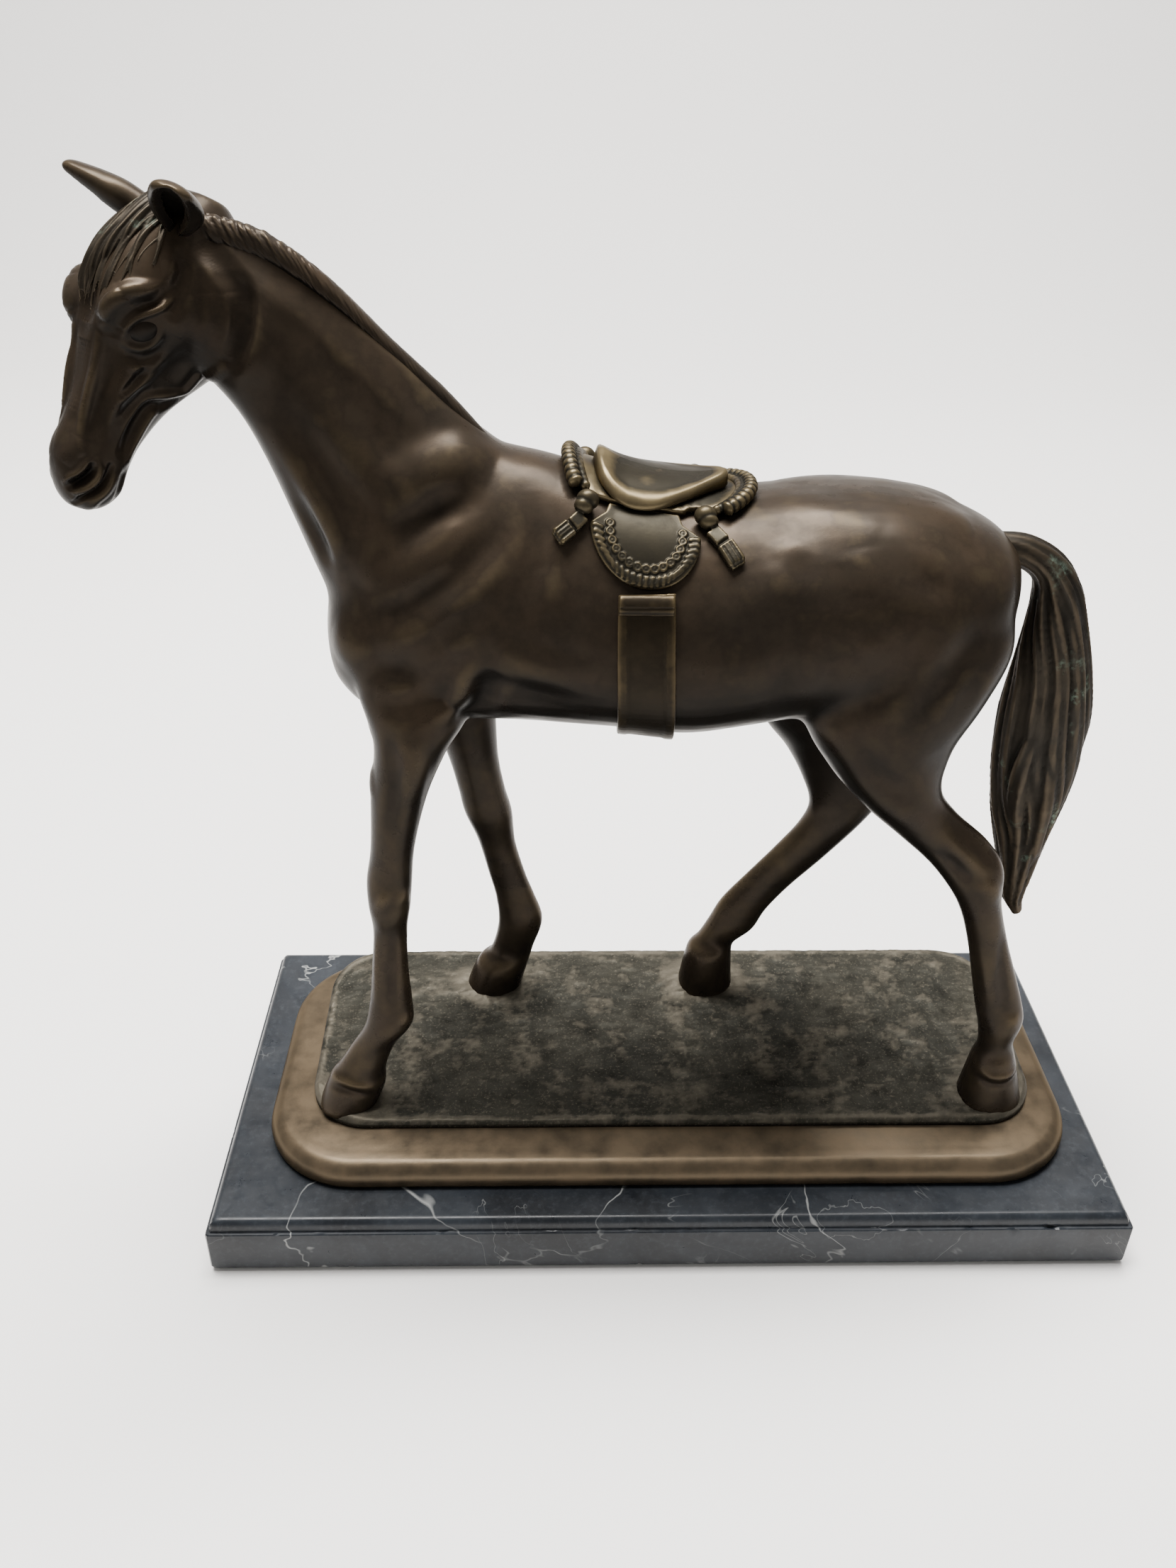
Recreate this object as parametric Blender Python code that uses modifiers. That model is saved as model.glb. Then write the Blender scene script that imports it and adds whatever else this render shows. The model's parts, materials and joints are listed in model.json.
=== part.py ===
"""A bronze walking horse with a dress saddle, on a bronze ground and a marble plinth.

Run with: blender --background --python part.py

Frame: origin at the middle of the underside, -X the way the horse walks, +Y its right (off) side,
+Z up. The near side is the horse's left, at -Y. Sizes are in millimetres, and become metres when
a mesh is made.

The horse is modelled as one smooth form, then parted into the sections that a foundry casts and
brazes together. The saddlery is laid on the trunk's own surface.
"""

import math

import bmesh
import bpy
import numpy as np
from mathutils import Matrix, Vector

MM = 0.001
GAP = 0.3  # clearance between pieces that meet

# ---------------------------------------------------------------- driving dimensions
PLINTH_LENGTH = 330.0
PLINTH_DEPTH = 153.0
PLINTH_BAND_TOP = 18.9  # top of the plain lower band, above the table
PLINTH_TOP = 23.5
PLINTH_STEP = 4.2  # how far the top face stands in from the band
FELT_THICKNESS = 0.8
FELT_INSET = 2.0

SKIRT_LENGTH = 300.0
SKIRT_DEPTH = 120.0
SKIRT_MIDDLE = 1.5
SKIRT_CORNER = 34.0
SKIRT_TOP = 35.2
SKIRT_LEDGE = 23.0  # how far the top ledge reaches in, to the opening under the ground plate
SKIRT_WALL = 4.0

GROUND_LENGTH = 272.0
GROUND_MIDDLE = 3.0
GROUND_CORNER = 22.0
GROUND_FRONT = -42.0
GROUND_BACK = 50.0
GROUND_LOW = 38.0  # walking surface at the front edge
GROUND_RISE = 6.5  # how much higher the walking surface is at the back

STUD_DIAMETER = 6.0
STUD_TOP = 33.5
STUD_PLACES = [(-105.0, -22.0), (105.0, -22.0), (-105.0, 27.0), (105.0, 27.0)]
RECESS_TOP = 11.0
RECESS_DIAMETER = 16.0
WASHER_DIAMETER = 12.0
WASHER_THICKNESS = 1.0
NUT_HEIGHT = 5.0
NUT_ACROSS_CORNERS = 11.5

HORSE_Y = 3.0  # the horse's middle plane
WALL = 4.5  # thickness of the hollow castings

# ---------------------------------------------------------------- the horse's sections
# A section is hung between two points of the side profile, (xa, za) and (xb, zb), and is as wide
# as its half-width to each side of y. Fullness 2 is an ellipse and more is boxier; lean makes the
# section wider at its second point than at its first.
#        xa     za     xb     zb     y  half  full  lean
TRUNK = [
    (-114.5, 224, -114.0, 207, 3, 9, 2.0, 0.0),
    (-111.0, 236, -111.0, 200, 3, 20, 2.0, 0.0),
    (-104, 247, -104, 193, 3, 28, 2.1, 0.0),
    (-92, 258, -95, 190, 3, 32, 2.1, 0.1),
    (-72, 271.5, -78, 189, 3, 35, 2.1, 0.2),
    (-58, 275.6, -63, 189, 3, 36.8, 2.1, 0.2),
    (-45, 273.6, -50, 189, 3, 38, 2.1, 0.2),
    (-32, 269.4, -35, 188, 3, 39.5, 2.1, 0.16),
    (-20, 265.5, -22, 187, 3, 40.5, 2.1, 0.12),
    (0, 262, 0, 185.5, 3, 42, 2.15, 0.1),
    (20, 262, 20, 188, 3, 42, 2.15, 0.06),
    (38, 263.7, 38, 190, 3, 41, 2.15, 0.0),
    (55, 264.3, 55, 190, 3, 40.5, 2.2, 0.0),
    (72, 262, 72, 190, 3, 39, 2.2, 0.0),
    (88, 256, 86, 196, 3, 34, 2.2, 0.0),
    (98, 251, 96, 206, 3, 27, 2.1, 0.0),
    (105, 244, 104, 220, 3, 13, 2.0, 0.0),
]
NECK = [
    (-147, 331.5, -150, 306, 0, 9, 2.0, 0.1),
    (-137, 335.4, -143, 298, 1, 12, 2.0, 0.2),
    (-122, 332, -135, 288, 2, 13, 2.1, 0.25),
    (-107, 321, -129, 275, 3, 14.5, 2.1, 0.3),
    (-89, 305.5, -122.5, 257, 3, 17.5, 2.1, 0.3),
    (-72, 289.5, -117, 241, 3, 21.5, 2.1, 0.28),
    (-57, 276, -111.5, 226, 3, 27, 2.1, 0.2),
    (-48, 268, -108, 208, 3, 31, 2.1, 0.1),
    (-45, 250, -98, 200, 3, 28, 2.0, 0.0),
]
NEAR_FORE = [
    (-108, 228, -66, 226, -14, 12, 2.0, 0.0),
    (-104, 206, -68, 200, -19, 15, 2.0, 0.0),
    (-99.5, 190, -76, 186, -23, 13, 2.0, 0.0),
    (-101.5, 170, -83, 170, -25, 10.3, 2.0, 0.0),
    (-103, 150, -88.2, 150, -26, 8.3, 2.0, 0.0),
    (-105.2, 137, -90, 135, -26.5, 7.6, 2.2, 0.0),
    (-105.2, 127, -91, 126, -27, 7.6, 2.2, 0.0),
    (-104.5, 116, -92.6, 116, -27, 6.0, 2.0, 0.0),
    (-106, 100, -93, 100, -28, 5.2, 2.0, 0.0),
    (-108.2, 83, -92.6, 84, -28, 5.6, 2.0, 0.0),
    (-111, 72, -93, 75, -28, 6.8, 2.0, 0.0),
    (-116.5, 63, -99.5, 66, -28.5, 6.0, 2.0, 0.0),
    (-121.5, 55, -103.8, 55, -29, 7.2, 2.0, 0.0),
    (-125, 50, -104.5, 47, -29, 8.8, 2.0, 0.0),
    (-130, 36.5, -108.5, 36.5, -29, 10.6, 2.2, -0.1),
]
OFF_FORE = [
    (-106, 226, -62, 222, 20, 12, 2.0, 0.0),
    (-102, 204, -63, 200, 24, 15, 2.0, 0.0),
    (-94, 188, -63, 184, 27, 13, 2.0, 0.0),
    (-86, 168, -63, 168, 29, 10.3, 2.0, 0.0),
    (-81, 152, -62.5, 151, 30, 8.3, 2.0, 0.0),
    (-78, 139, -60.5, 138, 30, 7.6, 2.2, 0.0),
    (-76, 128, -58, 127, 30.5, 7.6, 2.2, 0.0),
    (-71.5, 115, -57, 113, 31, 6.0, 2.0, 0.0),
    (-67.8, 99, -53, 97, 31, 5.2, 2.0, 0.0),
    (-65.2, 87, -50, 88, 31, 5.6, 2.0, 0.0),
    (-64.6, 74, -46.8, 76, 31, 6.8, 2.0, 0.0),
    (-68, 61, -50.5, 63, 31, 6.0, 2.0, 0.0),
    (-73.5, 55, -53, 54, 31, 8.4, 2.0, 0.0),
    (-79, 40, -57, 40, 31, 10.4, 2.2, -0.1),
]
NEAR_HIND = [
    (50, 242, 97, 240, -10, 18, 2.0, 0.0),
    (44, 216, 102.5, 222, -15, 21, 2.1, 0.0),
    (38, 196, 95.5, 204, -19, 20, 2.1, 0.0),
    (47, 180, 87, 188, -22, 15.5, 2.0, 0.0),
    (59, 167, 84.5, 173, -25, 11.8, 2.0, 0.0),
    (72, 155.5, 91, 163, -26, 9.2, 2.0, 0.0),
    (84, 144.5, 103, 152.5, -27, 7.8, 2.0, 0.0),
    (93.2, 133, 109.5, 143, -28, 7.6, 2.1, 0.0),
    (98.5, 123, 111.2, 129, -28, 7.4, 2.1, 0.0),
    (102.5, 111, 116, 113, -28.5, 6.2, 2.0, 0.0),
    (106.2, 96, 121.5, 98, -29, 5.4, 2.0, 0.0),
    (109.5, 83, 126.5, 84, -29, 5.9, 2.0, 0.0),
    (112.5, 73, 128.3, 76, -29, 7.0, 2.0, 0.0),
    (114, 63, 126.5, 66, -29, 6.4, 2.0, 0.0),
    (112.6, 56, 129, 57, -29, 8.8, 2.0, 0.0),
    (110.2, 36.5, 134.5, 36.5, -29, 11, 2.2, -0.1),
]
OFF_HIND = [
    (48, 240, 98, 238, 16, 18, 2.0, 0.0),
    (38, 212, 102, 218, 21, 21, 2.1, 0.0),
    (28, 190, 92, 196, 25, 19, 2.1, 0.0),
    (33, 171, 80, 179, 28, 14.5, 2.0, 0.0),
    (43, 157, 78, 163, 30, 11.2, 2.0, 0.0),
    (50.5, 143, 81, 150, 31, 9, 2.0, 0.0),
    (54.5, 131, 84, 138, 31, 7.8, 2.1, 0.0),
    (51.5, 121, 77, 125, 31, 7.4, 2.1, 0.0),
    (43, 109.5, 64, 108, 31, 6.2, 2.0, 0.0),
    (33, 97, 51, 93, 31, 5.4, 2.0, 0.0),
    (24, 85, 42.5, 81.5, 31, 6.0, 2.0, 0.0),
    (19.5, 75, 38, 72.5, 31, 6.9, 2.0, 0.0),
    (15.5, 67, 31, 66, 31, 6.4, 2.0, 0.0),
    (11.5, 60.5, 29.8, 60, 31, 8.6, 2.0, 0.0),
    (8.5, 41, 31, 41, 31, 10.8, 2.2, -0.1),
]
TAIL = [
    (98, 249.5, 100, 239, 3, 5.0, 2.0, 0.0),
    (108.5, 248.4, 107, 237.5, 3, 6.0, 2.0, 0.0),
    (119, 242.9, 112, 233, 3, 7, 2.0, 0.0),
    (127.5, 232.5, 113, 225, 3, 8, 2.0, 0.0),
    (133, 217, 112.3, 213, 3, 9.5, 2.0, 0.0),
    (137.8, 200, 111, 200, 3, 10.5, 2.0, 0.0),
    (140.6, 184, 109.6, 185, 3, 11, 2.0, 0.0),
    (140.5, 167, 110.3, 167, 3, 10.5, 2.0, 0.0),
    (138.7, 151, 113, 149, 3, 9.5, 2.0, 0.0),
    (136, 136, 116.5, 136, 3, 8.2, 2.0, 0.0),
    (133.5, 120, 121.2, 119, 3, 6.4, 2.0, 0.0),
    (132, 108, 124.5, 107.5, 3, 4.6, 2.0, 0.0),
    (133, 101, 130, 99, 3, 1.6, 2.0, 0.0),
]
SHEATH = [
    (13, 193, 13, 188, 3, 3, 2.0, 0.0),
    (21, 193, 21, 184.5, 3, 5, 2.0, 0.0),
    (31, 193, 31, 182, 3, 5.5, 2.0, 0.0),
    (38, 193, 38, 184, 3, 4.5, 2.0, 0.0),
    (42, 193, 42, 188, 3, 2, 2.0, 0.0),
]
# The head stands in its own frame: x down the face from the poll, z out of the face, y to the
# near side. It is set on the neck turned to the near side and nodded down.
HEAD = [
    (-8, -13, -8, -25, 0, 7, 2.0, 0.0),
    (-2, -6, -2, -33, 0, 11.5, 2.1, 0.0),
    (8, 1.0, 6, -41, 0, 14.2, 2.2, 0.0),
    (19, 4.5, 16, -46, 0, 17.0, 2.3, -0.05),
    (28, 5.0, 27, -44, 0, 16.8, 2.3, -0.15),
    (38, 3.4, 39, -35.5, 0, 12.2, 2.3, -0.08),
    (50, 1.8, 51, -27, 0, 9.6, 2.2, -0.1),
    (61, 1.0, 62, -22, 0, 8.4, 2.2, 0.0),
    (70, 1.4, 70, -20, 0, 8.9, 2.3, 0.1),
    (77.5, -0.4, 77.5, -20, 0, 8.8, 2.3, 0.05),
    (83, -4.0, 82.5, -17, 0, 7, 2.2, 0.0),
    (85.5, -7.5, 85, -13.5, 0, 3.5, 2.0, 0.0),
]
HEAD_PLACE = (-154.5, -1.0, 345.0)
HEAD_TURN = 42.0  # degrees towards the near side
HEAD_NOD = 61.0  # degrees of the face below level
# An ear lies along x of its own frame, and its cup opens towards -z.
EAR = [
    (-4, 3.6, -4, -3.6, 0, 3.6, 2.0, 0.0),
    (2, 4.8, 2, -4.4, 0, 5.2, 2.0, 0.0),
    (8, 5.2, 8, -4.4, 0, 6.8, 2.0, 0.0),
    (14, 4.6, 14, -3.6, 0, 6.5, 2.0, 0.0),
    (20, 3.6, 20, -2.8, 0, 5.2, 2.0, 0.0),
    (24, 2.6, 24, -2.0, 0, 3.8, 2.0, 0.0),
    (26.2, 0.9, 26.2, -0.5, 0, 1.4, 2.0, 0.0),
]
EAR_CUP = [
    (4, -1.0, 4, -8.0, 0, 2.4, 2.0, 0.0),
    (8, 1.2, 8, -9.0, 0, 4.6, 2.0, 0.0),
    (14, 1.0, 14, -7.0, 0, 4.2, 2.0, 0.0),
    (18, 0.6, 18, -5.4, 0, 2.6, 2.0, 0.0),
    (20.5, 0.0, 20.5, -4.4, 0, 0.8, 2.0, 0.0),
]
EAR_ROOT = (1.8, 10.3, -8.4)  # in the head's frame, near side
EAR_AIM = (-0.144, 0.783, 0.606)
# The mane is a low upright roll along the crest, and the forelock falls on the brow.
MANE = [
    (-141, 336.5, -140, 330, 1.0, 2.0, 2.0, 0.0),
    (-134, 339.8, -132, 331, 1.5, 3.6, 2.2, 0.1),
    (-121, 335.4, -117, 325, 2.0, 3.8, 2.2, 0.1),
    (-106, 324.4, -101, 313, 3.0, 3.8, 2.2, 0.1),
    (-89, 307.4, -84, 297, 3.0, 3.4, 2.2, 0.1),
    (-72, 291.4, -68, 282, 3.0, 3.0, 2.2, 0.1),
    (-61, 281.2, -58, 272, 3.0, 2.4, 2.2, 0.1),
    (-55, 278.2, -54, 272, 3.0, 1.4, 2.0, 0.0),
]
FORELOCK = [
    (-6, -5.5, -6, -14, 0, 3.5, 2.2, 0.0),
    (0, -0.8, 1, -10, 0, 6.5, 2.3, 0.0),
    (8, 3.8, 9, -6, -0.8, 7.6, 2.3, 0.0),
    (16, 7.2, 17, -4, -1.8, 6.6, 2.3, 0.0),
    (23, 8.0, 24, -3, -2.6, 4.4, 2.3, 0.0),
    (28.5, 7.2, 29, -1, -3.0, 1.6, 2.0, 0.0),
]

# ---------------------------------------------------------------- the castings' seams
NECK_SEAM = ((-46, 0, 275), (-0.604, 0, 0.797))  # a point on it, and the way to the neck
HEAD_SEAM = ((-140, 0, 320), (-0.95, -0.28, 0.1))
FORE_SEAM_TOP = 181.5
HIND_SEAM_TOP = 181.5

# ---------------------------------------------------------------- saddlery
# Places on the trunk are (x, arc): arc is the length of skin from the top line, in millimetres.
LIE = 0.5  # clear of the skin
CLOTH = 1.9  # thickness of blanket, flaps and girth
BLANKET = [
    (-37.7, 0), (-37.0, 6), (-35.7, 12), (-33.5, 15.5), (-30, 16.2), (-20, 16.2), (-10, 16.2),
    (-4, 16.2), (-1, 14.3), (6.4, 13.6), (11.6, 9.6), (14.7, 5), (15.6, 0),
]
SEAT = [
    (-32.5, 0), (-32, 6), (-30.5, 11.5), (-27, 16), (-22, 18.6), (-16.5, 18.8), (-11, 17.2),
    (-5, 13.8), (0.5, 10.2), (6, 6.4), (10, 3.4), (11.5, 0),
]
SEAT_UNDER = LIE + CLOTH + 0.5  # clear of the blanket
SEAT_EDGE = 2.2  # thickness at the seat's rim
SEAT_DROP = 18.8  # how far down its side the seat reaches
SEAT_SWELL = 0.4  # rise along the middle
SEAT_POMMEL = 2.6  # extra rise at the front
SEAT_CANTLE = 2.4  # extra rise at the back
FLAP_MIDDLE = (-15.5, 25.0)
FLAP_RADIUS = 17.0
FLAP_TOP = 17.2
FRONT_ROLL = [(-40.5, 0), (-40, 6), (-38.7, 12), (-37.2, 15.2)]
REAR_ROLL = [(18.5, 0), (17.4, 6), (14, 11.5), (8.8, 15.8)]
ROLL_RADIUS = 2.3
FRONT_KNOB = (-34.0, 19.8)
REAR_KNOB = (3.0, 18.6)
FRONT_STRAP = [(-36.3, 24.5), (-40.0, 28.8), (-44.2, 33.0)]
REAR_STRAP = [(5.0, 22.6), (8.6, 27.4), (12.4, 34.0)]
KNOB_RADIUS = 3.1
STRAP_HALF_WIDTH = 2.3
GIRTH_TOP = 43.4
GIRTH_LINE = [(-15.3, 43.4), (-14.6, 60), (-12.8, 85), (-11.5, 110), (-11.2, 126)]
GIRTH_HALF_WIDTH = 8.6
KEEPER_DEPTH = 5.5


# ---------------------------------------------------------------- making meshes
def clear_scene():
    for thing in list(bpy.data.objects):
        bpy.data.objects.remove(thing, do_unlink=True)


def new_collection(name):
    collection = bpy.data.collections.new(name)
    bpy.context.scene.collection.children.link(collection)
    return collection


def material(name, colour, roughness, metallic):
    made = bpy.data.materials.new(name)
    made.use_nodes = True
    made.diffuse_color = (*colour, 1.0)
    shader = made.node_tree.nodes["Principled BSDF"]
    shader.inputs["Base Color"].default_value = (*colour, 1.0)
    shader.inputs["Roughness"].default_value = roughness
    shader.inputs["Metallic"].default_value = metallic
    return made


def object_from(name, form, collection):
    """Turn a bmesh in millimetres into an object in metres."""
    bmesh.ops.recalc_face_normals(form, faces=form.faces)
    bmesh.ops.scale(form, vec=(MM, MM, MM), verts=form.verts)
    mesh = bpy.data.meshes.new(name)
    form.to_mesh(mesh)
    form.free()
    made = bpy.data.objects.new(name, mesh)
    collection.objects.link(made)
    return made


def bake(target):
    """Apply an object's modifiers to its mesh."""
    graph = bpy.context.evaluated_depsgraph_get()
    mesh = bpy.data.meshes.new_from_object(target.evaluated_get(graph))
    target.modifiers.clear()
    target.data = mesh


def combine(target, other, operation):
    """Boolean one object with another, and apply it."""
    step = target.modifiers.new(operation.lower(), "BOOLEAN")
    step.operation = operation
    step.solver = "EXACT"
    step.object = other
    bake(target)


def copy_of(source, name, collection, swell=0.0):
    """A copy of an object, its surface moved outwards by swell millimetres."""
    made = bpy.data.objects.new(name, source.data.copy())
    collection.objects.link(made)
    if swell:
        step = made.modifiers.new("swell", "DISPLACE")
        step.mid_level = 0.0
        step.strength = swell * MM
        bake(made)
    return made


def smooth_rows(rows, steps):
    """Catmull-Rom rows through the given rows, with steps rows to each interval."""
    table = np.array(rows, float)
    padded = np.vstack([2 * table[0] - table[1], table, 2 * table[-1] - table[-2]])
    out = []
    for k in range(len(table) - 1):
        p0, p1, p2, p3 = padded[k : k + 4]
        for j in range(steps):
            t = j / steps
            bend = (2 * p0 - 5 * p1 + 4 * p2 - p3) * t * t + (3 * p1 - p0 - 3 * p2 + p3) * t**3
            out.append(0.5 * (2 * p1 + (p2 - p0) * t + bend))
    out.append(table[-1])
    return np.array(out)


def section_point(row, angle):
    """A point of one section, at an angle measured from its first profile point."""
    xa, za, xb, zb, y, half, full, lean = row
    along = math.copysign(abs(math.cos(angle)) ** (2 / full), math.cos(angle))
    across = math.copysign(abs(math.sin(angle)) ** (2 / full), math.sin(angle))
    x = (xa + xb) / 2 + along * (xa - xb) / 2
    z = (za + zb) / 2 + along * (za - zb) / 2
    return Vector((x, y + across * half * (1 - lean * along), z))


def loft(rows, steps=3, around=24):
    """A closed skin over a run of sections, with its ends drawn to a point."""
    form = bmesh.new()
    rings = []
    for row in smooth_rows(rows, steps):
        ring = [form.verts.new(section_point(row, math.tau * k / around)) for k in range(around)]
        rings.append(ring)
    for low, high in zip(rings, rings[1:]):
        for k in range(around):
            n = (k + 1) % around
            form.faces.new((low[k], low[n], high[n], high[k]))
    for ring in (rings[0], rings[-1]):
        middle = sum((v.co for v in ring), Vector()) / around
        tip = form.verts.new(middle)
        for k in range(around):
            form.faces.new((ring[k], ring[(k + 1) % around], tip))
    return form


def head_frame():
    """The head's own frame, set at the poll."""
    turn, nod = math.radians(HEAD_TURN), math.radians(HEAD_NOD)
    level = Vector((-math.cos(turn), -math.sin(turn), 0))
    down = Vector((0, 0, -1))
    along = level * math.cos(nod) + down * math.sin(nod)
    out = level * math.sin(nod) - down * math.cos(nod)
    off = out.cross(along)
    frame = Matrix((along, off, out)).transposed().to_4x4()
    frame.translation = Vector(HEAD_PLACE)
    return frame


def join(objects):
    """Put the shells of several objects into the first, and remove the rest."""
    form = bmesh.new()
    for one in objects:
        form.from_mesh(one.data)
    form.to_mesh(objects[0].data)
    form.free()
    for one in objects[1:]:
        bpy.data.objects.remove(one, do_unlink=True)
    return objects[0]


# ---------------------------------------------------------------- the horse
def half_space(name, seam, shift, guides):
    """A large box on the far side of a seam, its face moved along the seam's direction."""
    point, direction = seam
    reach = 400.0
    form = bmesh.new()
    bmesh.ops.create_cube(form, size=reach)
    towards = Vector(direction).normalized()
    turn = towards.to_track_quat("Z", "Y").to_matrix().to_4x4()
    middle = Vector(point) + towards * (reach / 2 + shift)
    form.transform(Matrix.Translation(middle) @ turn)
    return object_from(name, form, guides)


def box(name, low, high, guides):
    low, high = Vector(low), Vector(high)
    form = bmesh.new()
    bmesh.ops.create_cube(form, size=1)
    bmesh.ops.scale(form, vec=high - low, verts=form.verts)
    bmesh.ops.translate(form, vec=(low + high) / 2, verts=form.verts)
    return object_from(name, form, guides)


def part_off(horse, name, cutters, parts):
    """Part a section from the horse: cutters are the region, and the region with its seam."""
    region, with_seam = cutters
    section = copy_of(horse, name, parts)
    combine(section, region, "INTERSECT")
    combine(horse, with_seam, "DIFFERENCE")
    return section


def melt(target, voxel, passes, keep):
    """Fuse a pile of shells into one skin, ease its creases, and thin its faces."""
    remesh = target.modifiers.new("melt", "REMESH")
    remesh.mode = "VOXEL"
    remesh.voxel_size = voxel * MM
    ease = target.modifiers.new("ease", "SMOOTH")
    ease.factor = 0.5
    ease.iterations = passes
    thin = target.modifiers.new("thin", "DECIMATE")
    thin.ratio = keep
    bake(target)


def whole_horse(guides):
    """Trunk, neck, head and legs melted into one smooth closed form."""
    limbs = [TRUNK, NECK, SHEATH, NEAR_FORE, OFF_FORE, NEAR_HIND, OFF_HIND]
    shells = [object_from("limb", loft(rows), guides) for rows in limbs]
    head = loft(HEAD)
    head.transform(head_frame())
    shells.append(object_from("head_form", head, guides))
    horse = join(shells)
    melt(horse, 1.5, 6, 0.034)
    return horse


def core(guides):
    """The hollow inside the barrel and the neck."""
    def inset(rows):
        out = []
        for xa, za, xb, zb, y, half, full, lean in rows:
            pull = WALL / math.hypot(xa - xb, za - zb)
            ends = (xa + (xb - xa) * pull, za + (zb - za) * pull)
            ends += (xb + (xa - xb) * pull, zb + (za - zb) * pull)
            out.append((*ends, y, half - WALL, full, lean))
        return out

    trunk = object_from("core", loft(inset(TRUNK[2:-1]), 2, 20), guides)
    neck = object_from("neck_core", loft(inset(NECK[3:-1]), 2, 16), guides)
    hollow = join([trunk, neck])
    melt(hollow, 3.0, 4, 0.07)
    return hollow


def horse_sections(parts, guides):
    """The horse's castings: barrel, neck, head and four legs, parted at their seams."""
    horse = whole_horse(guides)
    half = GAP / 2
    seams = (("neck", NECK_SEAM), ("head", HEAD_SEAM))
    for name, seam in seams:
        regions = [half_space(name + "_region", seam, shift, guides) for shift in (half, -half)]
        if name == "neck":
            neck = part_off(horse, name, regions, parts)
        else:
            part_off(neck, name, regions, parts)
    legs = (
        ("near_foreleg", (-160, -70, 0), (-45, HORSE_Y, FORE_SEAM_TOP)),
        ("off_foreleg", (-160, HORSE_Y, 0), (-45, 70, FORE_SEAM_TOP)),
        ("near_hindleg", (26, -70, 0), (150, HORSE_Y, HIND_SEAM_TOP)),
        ("off_hindleg", (-10, HORSE_Y, 0), (150, 70, HIND_SEAM_TOP)),
    )
    for name, low, high in legs:
        region = box(name + "_region", low, high, guides)
        with_seam = box(name + "_seam", low, Vector(high) + Vector((0, 0, GAP)), guides)
        part_off(horse, name, (region, with_seam), parts)
    hollow = core(guides)
    barrel = copy_of(horse, "barrel", parts)
    bpy.data.objects.remove(horse, do_unlink=True)
    combine(barrel, hollow, "DIFFERENCE")
    combine(neck, hollow, "DIFFERENCE")
    return barrel


def trimmed(piece, neighbours, guides):
    """Cut a piece back to clear its neighbours."""
    for name in neighbours:
        swollen = copy_of(bpy.data.objects[name], name + "_clear", guides, GAP)
        combine(piece, swollen, "DIFFERENCE")
    return piece


def tail(parts, guides):
    made = object_from("tail", loft(TAIL, 2, 12), parts)
    return trimmed(made, ["barrel"], guides)


def ears(parts, guides):
    frame = head_frame()
    for name, side in (("near_ear", 1), ("off_ear", -1)):
        along = Vector((EAR_AIM[0], side * EAR_AIM[1], EAR_AIM[2])).normalized()
        opening = Vector((1, 0, 0))
        opening = (opening - opening.dot(along) * along).normalized()
        across = (-opening).cross(along)
        lie = Matrix((along, across, -opening)).transposed().to_4x4()
        lie.translation = Vector((EAR_ROOT[0], side * EAR_ROOT[1], EAR_ROOT[2]))
        outer = loft(EAR, 2, 10)
        outer.transform(frame @ lie)
        cup = loft(EAR_CUP, 2, 8)
        cup.transform(frame @ lie)
        ear = object_from(name, outer, parts)
        combine(ear, object_from(name + "_cup", cup, guides), "DIFFERENCE")
        trimmed(ear, ["head"], guides)


def mane_and_forelock(parts, guides):
    mane = object_from("mane", loft(MANE, 2, 10), parts)
    trimmed(mane, ["neck", "head", "barrel"], guides)
    falls = loft(FORELOCK, 2, 12)
    falls.transform(head_frame())
    forelock = object_from("forelock", falls, parts)
    trimmed(forelock, ["head", "mane"], guides)


# ---------------------------------------------------------------- saddlery
TRUNK_ROWS = smooth_rows(TRUNK, 12)
TRUNK_X = (TRUNK_ROWS[:, 0] + TRUNK_ROWS[:, 2]) / 2


def trunk_row(x):
    return [np.interp(x, TRUNK_X, TRUNK_ROWS[:, k]) for k in range(TRUNK_ROWS.shape[1])]


def turn_at(x, arc):
    """The section angle that lies an arc's length of skin down from the top line."""
    row = trunk_row(x)
    turns = np.linspace(0, math.pi, 91)
    points = [section_point(row, turn) for turn in turns]
    steps = [(b - a).length for a, b in zip(points, points[1:])]
    return float(np.interp(arc, np.concatenate([[0], np.cumsum(steps)]), turns))


def on_trunk(x, turn, lift):
    """A point lifted off the trunk's skin."""
    here = section_point(trunk_row(x), turn)
    along = section_point(trunk_row(x + 0.5), turn) - here
    around = section_point(trunk_row(x), turn + 0.01) - here
    return here + along.cross(around).normalized() * lift


def at(x, arc, lift, side=-1):
    """A point over (x, arc) on the near (-1) or off (+1) side; a negative arc crosses over."""
    turn = math.copysign(turn_at(x, abs(arc)), arc)
    return on_trunk(x, side * turn, lift)


def both_sides(outline):
    """Mirror an outline that starts and ends on the top line."""
    return outline + [(x, -arc) for x, arc in reversed(outline[1:-1])]


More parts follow.
